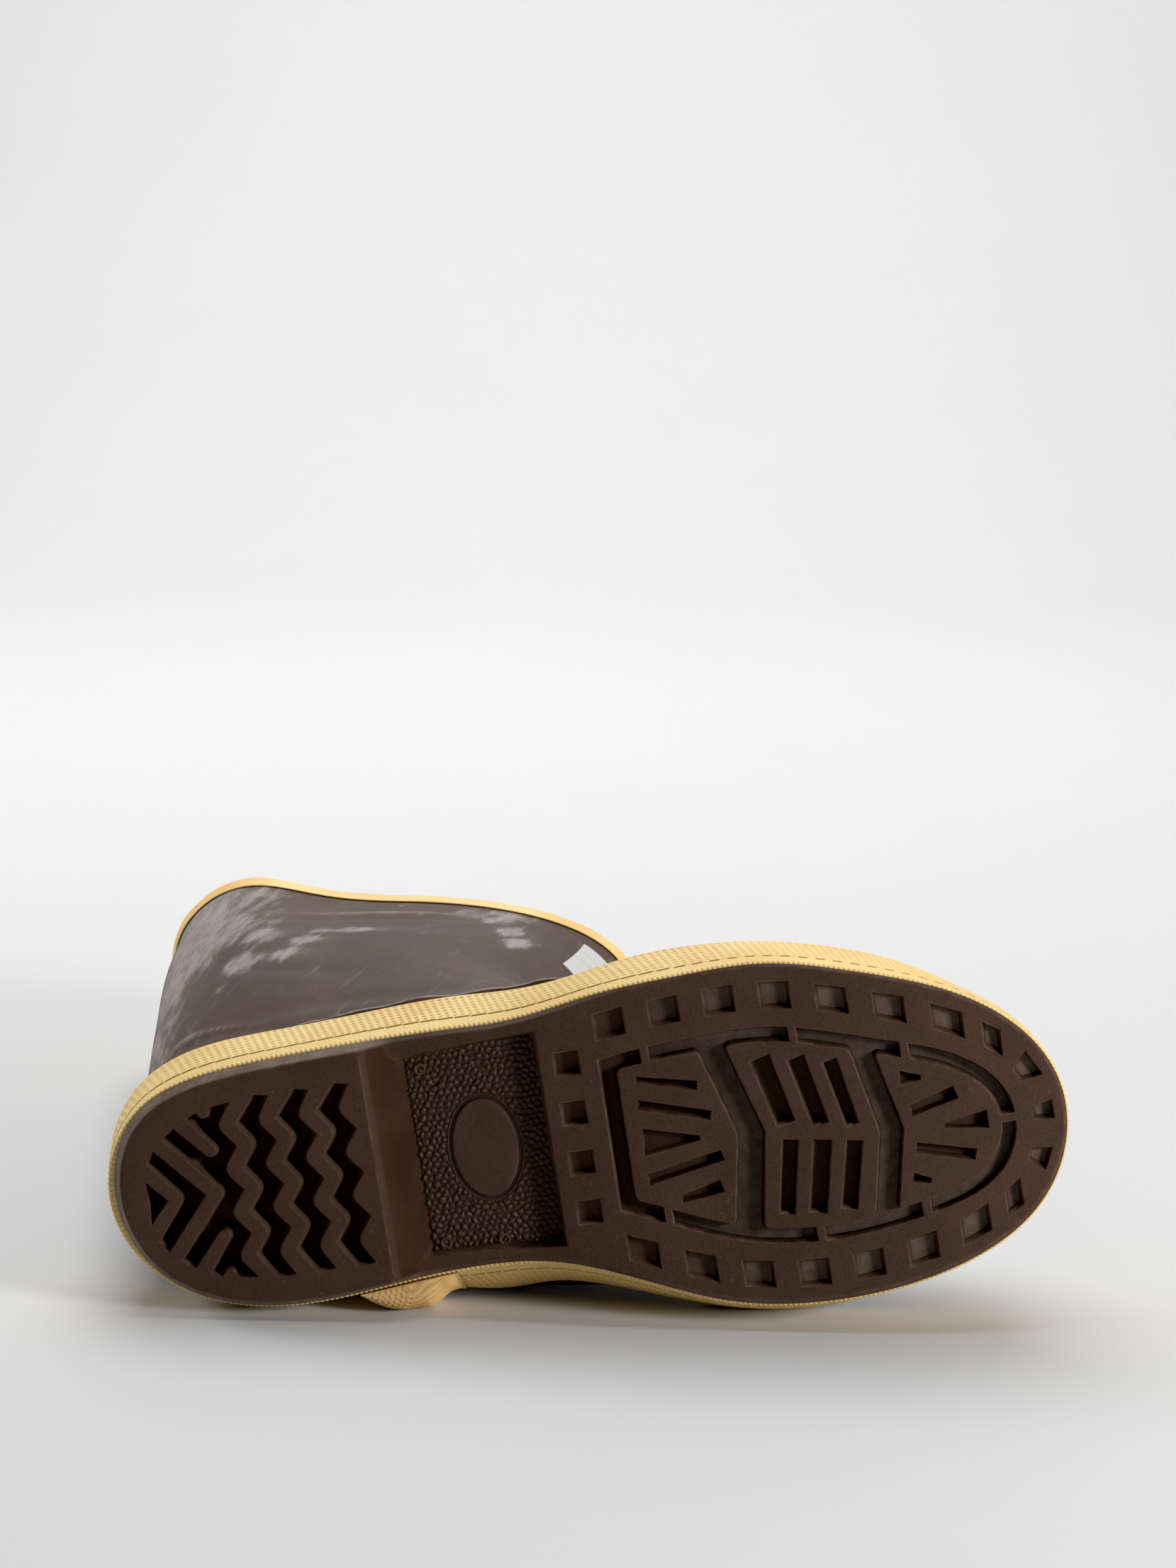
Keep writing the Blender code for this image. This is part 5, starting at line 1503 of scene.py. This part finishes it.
@dataclass(frozen=True)
class Upper:
    """Upper and shaft in one hollow wall with soft creases; lined, open at the collar and underneath."""

    shop: Workshop
    form: BootForm
    rubber: UpperRubber
    lining: LiningCloth
    wall: float = 2.6
    columns: int = 240
    arch_swell: float = 6.9

    CREASES: ClassVar[Table] = table(
        "place height slope curve spread width lift rubbed",
        (0.70, 102.5, -15.0, -180.0, 0.17, 1.8, 0.8, 0.8), (0.70, 96.0, -15.0, -180.0, 0.24, 5.0, -0.9, 0.0),
        (1.56, 259.0, 18.0, -6.0, 0.36, 4.0, 0.9, 0.45), (1.60, 247.0, 18.0, -6.0, 0.45, 6.0, -0.8, 0.0),
        (1.45, 94.0, 8.0, 20.0, 0.42, 9.0, -1.3, 0.0), (1.20, 150.0, -60.0, 0.0, 0.30, 10.0, -0.9, 0.0),
        (0.42, 196.0, 160.0, 0.0, 0.12, 12.0, 0.6, 0.25), (2.75, 112.0, 14.0, 0.0, 0.55, 5.0, -1.2, 0.0),
        (3.00, 127.0, 10.0, 0.0, 0.60, 6.0, -1.0, 0.0), (3.25, 119.0, 4.0, 0.0, 0.60, 4.5, 0.8, 0.15),
        (4.70, 104.0, -12.0, 10.0, 0.50, 7.0, -1.2, 0.0), (4.90, 180.0, 30.0, 0.0, 0.45, 14.0, -1.0, 0.0))
    BLOOMS: ClassVar[Table] = table(
        "place height spread tall strength",
        (0.58, 258.0, 0.42, 85.0, 1.30), (0.45, 190.0, 0.32, 45.0, 1.15), (0.32, 135.0, 0.30, 50.0, 1.0),
        (0.88, 284.0, 0.16, 18.0, 0.9), (1.00, 166.0, 0.10, 13.0, 1.15), (1.12, 205.0, 0.16, 14.0, 0.85),
        (1.26, 166.0, 0.14, 10.0, 1.2), (1.36, 188.0, 0.12, 9.0, 0.85), (1.55, 207.0, 0.26, 7.0, 1.0),
        (1.94, 272.0, 0.09, 18.0, 1.05), (2.12, 288.0, 0.14, 10.0, 0.95), (2.10, 268.0, 0.08, 14.0, 1.1),
        (2.22, 245.0, 0.08, 17.0, 1.25), (2.34, 222.0, 0.07, 16.0, 1.25), (3.60, 200.0, 0.70, 60.0, 0.7),
        (4.90, 150.0, 0.60, 70.0, 0.7), (5.60, 240.0, 0.50, 60.0, 0.8), (3.14, 80.0, 0.60, 22.0, 0.6))

    def heights(self) -> Array:
        """Heights, at the back, of the rows from the foxing to the collar."""
        runs = ((self.form.foxing_back, 60, 20), (62, 140, 44), (142.5, self.form.collar, 66))
        return np.concatenate([np.linspace(*run) for run in runs])

    def relief(self, columns: Array, heights: Array) -> tuple[Array, Array]:
        """Creases of the wall: bells across curved lines that fade along them, over a slow waviness.

        Just above the foxing the wall also swells over the arch, a bell both ways.

        Args:
            columns: angles round the boot.
            heights: heights of the rows.

        Returns:
            Lift of the wall, and how rubbed it is, for each row and column.
        """
        place, height = columns[None, :], heights[:, None]
        lift = 0.35 * np.sin(3 * place + height / 31) * np.sin(height / 43 + 1.0) * ease(height, 60, 120)
        rubbed = np.zeros_like(lift)
        for row in table_rows(self.CREASES):
            away = turned_from(place, row["place"])
            line = row["height"] + row["slope"] * away + row["curve"] * away**2
            near = bell(away, 0, row["spread"])
            lift = lift + row["lift"] * bell(height - line, 0, row["width"]) * near
            rubbed = rubbed + row["rubbed"] * bell(height - line, 0, row["width"] * 0.7) * near
        start, collar = self.form.foxing_back, self.form.collar
        fade = ease(height, start + 3, 50) * (1 - ease(height, collar - 14, collar - 8))
        above = bell(height, 38, 11) * ease(height, start, start + 9)
        return lift * fade + self.arch_swell * bell(place, 4.83, 0.32) * above, np.clip(rubbed, 0, 1)

    def bloom(self, columns: Array, heights: Array) -> Array:
        """Where the pale bloom lies: soft patches, bells both ways."""
        total = np.zeros((len(heights), len(columns)))
        for row in table_rows(self.BLOOMS):
            away = turned_from(columns, row["place"])
            patch = bell(away, 0, row["spread"])[None, :] * bell(heights, row["height"], row["tall"])[:, None]
            total = np.maximum(total, row["strength"] * patch)
        return total

    def face(self, columns: Array, heights: Array) -> tuple[Array, Array]:
        """Creased outer face at whole rings of columns, and its outward directions."""
        smooth = self.form.upper_face(columns, heights)
        normals = face_normals(smooth)
        lift, _ = self.relief(columns, heights)
        creased = smooth + normals * lift[..., None]
        return creased, face_normals(creased)

    def read(self, angles: Array, heights: Array) -> tuple[Array, Array]:
        """Creased face and its outward directions at any places, straight between the points of a fine grid.

        Args:
            angles: angles round the boot, inside the turn.
            heights: heights at the back, of the same shape.

        Returns:
            Points and directions, of that shape.
        """
        columns = self.form.columns(720)
        rows = np.linspace(self.form.foxing_back, self.form.collar, 320)
        column = np.interp(angles, columns, np.arange(len(columns)))
        row = np.interp(heights, rows, np.arange(len(rows)))
        left = np.minimum(column.astype(int), len(columns) - 2)
        low = np.minimum(row.astype(int), len(rows) - 2)
        right, high = (column - left)[..., None], (row - low)[..., None]

        def between(grid: Array, row: Array) -> Array:
            """Places on one row of a grid, straight between its columns."""
            return grid[row, left] * (1 - right) + grid[row, left + 1] * right

        return tuple(between(grid, low) * (1 - high) + between(grid, low + 1) * high
                     for grid in self.face(columns, rows))

    def build(self) -> bpy.types.Object:
        """The shell: outer rows, inner rows a wall's thickness inside, both rims closed."""
        form = self.form
        columns, heights = form.columns(self.columns), self.heights()
        x = form.plan(columns)[:, 0]
        face, normals = self.face(columns, heights)
        feather = form.side_rings(columns, form.side_height("feather", x)[None] + form.gap, 0.0)
        outer = np.concatenate([feather, face])
        normals = np.concatenate([normals[:1], normals])
        _, outward = form.edge(columns)
        normals[:2] = np.column_stack([outward, np.zeros(len(x))])
        normals[-1] = level(normals[-1])
        inner = outer - normals * self.wall
        inner[0, :, 2] = outer[0, :, 2]
        inner[-1, :, 2] = outer[-1, :, 2]
        rows, count = len(outer), len(columns)
        split, near = rows * count, np.arange(count)
        rims = [bridge(split - count + near, 2 * split - count + near), bridge(split + near, near)]
        outer_faces = np.concatenate([grid_faces(rows, count), *rims])
        inner_faces = grid_faces(rows, count, first=split)[:, ::-1]
        _, rubbed = self.relief(columns, heights)
        marks = {"crease": rubbed, "bloom": self.bloom(columns, heights)}
        marks = {name: np.concatenate([part[:1], part, part[:1], part]) for name, part in marks.items()}
        return self.shop.piece("upper_shell", np.stack([outer, inner]), [outer_faces, inner_faces], "upper",
                               "upper", [self.rubber.material(), self.lining.material()], marks)


@dataclass(frozen=True)
class UpperLip:
    """Thin lip of rubber that stands up behind the top of the foxing on the outer side of the waist."""

    shop: Workshop
    upper: Upper
    rubber: bpy.types.Material
    start: float = 52.0
    end: float = 146.0
    stand: float = 3.4
    wave: float = 20.0
    steps: int = 260

    PROFILE: ClassVar[Table] = table(
        "share up pale", (0.0, -0.4, 0.0), (0.88, -0.4, 0.0), (0.97, -0.25, 1.0), (1.0, 0.0, 1.0),
        (0.97, 0.25, 1.0), (0.90, 0.4, 0.3), (0.0, 0.4, 0.0))

    def build(self) -> bpy.types.Object:
        """Fin: a thin profile along the top of the foxing, its height a wave that fades to both ends."""
        form = self.upper.form
        angles = np.linspace(*(form.station_angle(np.array([self.start, self.end]))), self.steps)
        path, out = self.upper.read(angles, np.full(self.steps, form.foxing_back + 0.8))
        out = level(out)
        place = np.linalg.norm(np.gradient(path, axis=0), axis=1).cumsum()
        angle = 2 * math.pi * place
        rolling = 0.55 + 0.33 * np.sin(angle / self.wave) + 0.2 * np.sin(angle / 37 + 1)
        fade = ease(place, 0, 14) * (1 - ease(place, place[-1] - 14, place[-1]))
        tall = self.stand - 0.5 + (0.9 + 0.9 * rolling) * fade
        share, up, pale = (self.PROFILE[name] for name in ("share", "up", "pale"))
        rows = path[:, None] + out[:, None] * (tall[:, None] * share)[..., None]
        rows[..., 2] += up
        sides = len(share)
        faces = grid_faces(self.steps, sides)[:, ::-1]
        ends = np.array([np.arange(sides), (self.steps - 1) * sides + np.arange(sides)[::-1]])
        # Painted highlight: the pale column lightens the lip's top edge through the crease mark.
        crease = np.broadcast_to(0.9 * pale, (self.steps, sides))
        return self.shop.piece("upper_lip", rows, [faces, ends], "upper", None, [self.rubber],
                               {"crease": crease, "bloom": np.zeros_like(crease)})


@dataclass(frozen=True)
class CollarBinding:
    """Rubber binding folded over the rim of the collar."""

    shop: Workshop
    form: BootForm
    rubber: BandRubber
    leg: float = 7.0
    columns: int = 360

    PROFILE: ClassVar[Table] = table(
        "out up",
        (0.32, -6.8), (0.55, -7.0), (0.8, -6.8), (1.05, -5.8), (1.3, -4.4), (1.65, -2.6), (1.95, -1.0),
        (2.05, 0.1), (1.8, 0.9), (1.3, 1.5), (0.5, 1.8), (-1.3, 1.9), (-3.1, 1.7), (-4.0, 1.4), (-4.5, 0.8),
        (-4.7, 0.0), (-4.7, -3.0), (-4.6, -6.4), (-4.1, -7.0), (-3.5, -7.1), (-2.95, -6.8), (-2.92, -3.0),
        (-2.9, 0.3), (-1.3, 0.3), (0.3, 0.3), (0.3, -3.0))

    def build(self) -> bpy.types.Object:
        """Binding: its round profile carried along the rim, a little uneven from place to place."""
        columns = self.form.columns(self.columns)
        collar = self.form.collar
        rows = self.form.upper_face(columns, np.array([collar - 2 * self.leg, collar - self.leg, collar]))
        normals = level(face_normals(rows))
        out, up = self.PROFILE["out"][:, None], self.PROFILE["up"][:, None]
        down = np.clip(-up / self.leg, 0, 1.4)[..., None]
        base = rows[2] + (rows[1] - rows[2]) * down
        normal = normals[2] + (normals[1] - normals[2]) * down
        uneven = 0.10 * np.sin(columns * 9) + 0.07 * np.sin(columns * 23 + up)
        swell = np.where((out > 1.0) | (up > 1.0), uneven, 0.0)
        points = base + normal * (out + swell)[..., None]
        points[..., 2] += np.clip(up, 0, None) + np.where(up > 1.0, uneven * 0.5, 0)
        # Painted shade along the lower end of the outer leg, where it meets the shaft.
        hollow = np.where((up < -6.9) & (out > 0), 0.5, 0.0) * np.ones((1, len(columns)))
        faces = grid_faces(len(out), len(columns), tube=True)
        return self.shop.piece("binding_roll", points, [faces], "collar_binding", "collar_binding",
                               [self.rubber.material()], {"hollow": hollow})


@dataclass(frozen=True)
class ShaftLabel:
    """Blank white label stuck on the front of the shaft."""

    shop: Workshop
    upper: Upper
    paper: LabelPaper
    place: tuple[float, float] = (2.665, 3.40)
    lean: float = -0.09
    slope: float = -3.0
    height: tuple[float, float] = (228.0, 283.0)
    thickness: float = 0.3
    lifts: tuple[float, float] = (0.08, 0.05)
    steps: int = 36
    rows: int = 28

    def build(self) -> bpy.types.Object:
        """Thin slab on a grid of the creased face, its sides leaning a little towards the back."""
        rise = np.linspace(0, 1, self.rows)[:, None]
        across = np.linspace(0, 1, self.steps)
        angles = self.place[0] + (self.place[1] - self.place[0]) * across + self.lean * rise
        heights = self.height[0] + (self.height[1] - self.height[0]) * rise + self.slope * across
        face, normals = self.upper.read(angles, heights)
        points = np.stack([face + normals * (self.lifts[0] + self.thickness), face + normals * self.lifts[1]])
        return self.shop.piece("shaft_label", points, [slab_faces(self.rows, self.steps)], None, None,
                               [self.paper.material()], sharp=40)


@dataclass(frozen=True)
class Studio:
    """Pale paper sweep, soft lights and the camera of the photograph."""

    lens: float = 91.98
    place: Triple = (0.0099, -1.3129, 0.3633)
    yaw: float = -0.27
    pitch: float = 9.68
    roll: float = 1.12
    black_level: float = 0.0034
    front: float = -3.0
    back: float = 1.6
    radius: float = 0.9
    tall: float = 5.0
    half_width: float = 4.0
    paper: StudioPaper = StudioPaper()

    LIGHTS: ClassVar[Table] = table(
        "x y z at_x at_y at_z width watts",
        (0.0, 0.35, 1.8, 0.0, 0.0, 0.0, 1.6, 29.0), (0.0, 1.5, 1.6, 0.0, 0.0, 0.0, 0.8, 4.0),
        (1.20, -0.84, 0.44, 0.0, -0.1, 0.05, 0.32, 18.0), (-1.7, 0.5, 0.9, -0.1, 0.1, 0.0, 0.6, 12.0),
        (0.0, 1.3, 2.2, 0.0, 2.5, 1.45, 1.4, 42.0))

    def sweep(self) -> bpy.types.Object:
        """Floor that curves up into a backdrop: straight, a quarter circle and straight, carried along X."""
        bend = np.linspace(0, math.pi / 2, 24)
        radius, back = self.radius, self.back
        curve = np.stack([back + radius * np.sin(bend), radius - radius * np.cos(bend)], -1)
        line = np.concatenate([[(self.front, 0.0)], curve, [(back + radius, self.tall)]])
        across = np.linspace(-self.half_width, self.half_width, 9)
        points = np.stack(np.broadcast_arrays(across, line[:, :1], line[:, 1:]), -1)
        faces = grid_faces(*points.shape[:2], ring=False)
        mesh = bpy.data.meshes.new("studio_sweep")
        mesh.from_pydata(points.reshape(-1, 3).tolist(), [], faces.tolist())
        mesh.shade_smooth()
        mesh.materials.append(self.paper.material())
        sweep = placed("studio_sweep", mesh)
        return sweep

    def light(self) -> None:
        """Soft area lights, each aimed at a point, and a pale world."""
        for index, row in enumerate(table_rows(self.LIGHTS)):
            lamp = bpy.data.lights.new(f"softbox_{index}", "AREA")
            lamp.shape, lamp.size, lamp.energy = "SQUARE", row["width"], row["watts"]
            holder = placed(f"softbox_{index}", lamp)
            start = Vector((row["x"], row["y"], row["z"]))
            aim = Vector((row["at_x"], row["at_y"], row["at_z"])) - start
            turn = aim.to_track_quat("-Z", "Y").to_matrix().to_4x4()
            holder.matrix_world = Matrix.Translation(start) @ turn
        world = bpy.data.worlds.new("studio_world")
        world.use_nodes = True
        sockets = world.node_tree.nodes["Background"].inputs
        sockets["Color"].default_value, sockets["Strength"].default_value = (1.0, 1.0, 1.0, 1.0), 0.01
        bpy.context.scene.world = world

    def camera(self) -> None:
        """Camera at the photograph's place, looking along its yaw, pitch and roll."""
        yaw, pitch, roll = (math.radians(angle) for angle in (self.yaw, self.pitch, self.roll))
        forward = Vector((math.sin(yaw) * math.cos(pitch), math.cos(yaw) * math.cos(pitch), -math.sin(pitch)))
        right = forward.cross(Vector((0, 0, 1))).normalized()
        up = right.cross(forward)
        tilted = right * math.cos(roll) + up * math.sin(roll)
        raised = up * math.cos(roll) - right * math.sin(roll)
        data = bpy.data.cameras.new("photo_camera")
        data.lens, data.sensor_width, data.clip_start, data.clip_end = self.lens, 36.0, 0.05, 50.0
        camera = placed("photo_camera", data)
        turn = Matrix((tilted, raised, -forward)).transposed().to_4x4()
        camera.matrix_world = Matrix.Translation(Vector(self.place)) @ turn
        bpy.context.scene.camera = camera

    def build(self) -> None:
        """Camera, lights and sweep, with plain display colours."""
        self.camera()
        self.light()
        self.sweep()
        view = bpy.context.scene.view_settings
        view.view_transform = "Standard"
        view.use_curve_mapping = True
        view.curve_mapping.black_level = (self.black_level,) * 3
        view.curve_mapping.update()
        LOG.info("studio: sweep, %d lights, camera", len(self.LIGHTS["x"]))


def main() -> None:
    """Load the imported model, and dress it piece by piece."""
    logging.basicConfig(level=logging.INFO, format="%(name)s %(message)s")
    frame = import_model()
    Studio().build()
    shop, form = Workshop(Pose.from_record(frame["record"])), BootForm()
    tread, upper_rubber, lining = TreadRubber(), UpperRubber(), LiningCloth()
    band = BandRubber()
    sole = Outsole(shop, form, TreadPattern(form), tread)
    tread_piece = sole.build()
    pebbled = TreadRubber("shank_rubber", roughness=0.42, shine=0.16, dust_share=0.12)
    ShankPanel(shop, sole, pebbled).build(tread_piece.data.materials[0])
    foxing = Foxing(shop, form, band)
    foxing.build()
    FoxingSplice(shop, foxing, BandRubber("lap_rubber", (0.88, 0.60, 0.25), (0.80, 0.50, 0.18))).build()
    upper = Upper(shop, form, upper_rubber, lining)
    shell = upper.build()
    UpperLip(shop, upper, shell.data.materials[0]).build()
    CollarBinding(shop, form, BandRubber("binding_rubber", (0.86, 0.59, 0.24), (0.78, 0.49, 0.17))).build()
    ShaftLabel(shop, upper, LabelPaper()).build()
    insole = frame["nodes"]["insole"]
    insole.data.materials.clear()
    cloth = LiningCloth("insole_cloth", (0.26, 0.22, 0.18), (0.15, 0.12, 0.10), 0.0014)
    insole.data.materials.append(cloth.material())
    LOG.info("insole: CAD solid with its own finish")


if __name__ == "__main__":
    main()
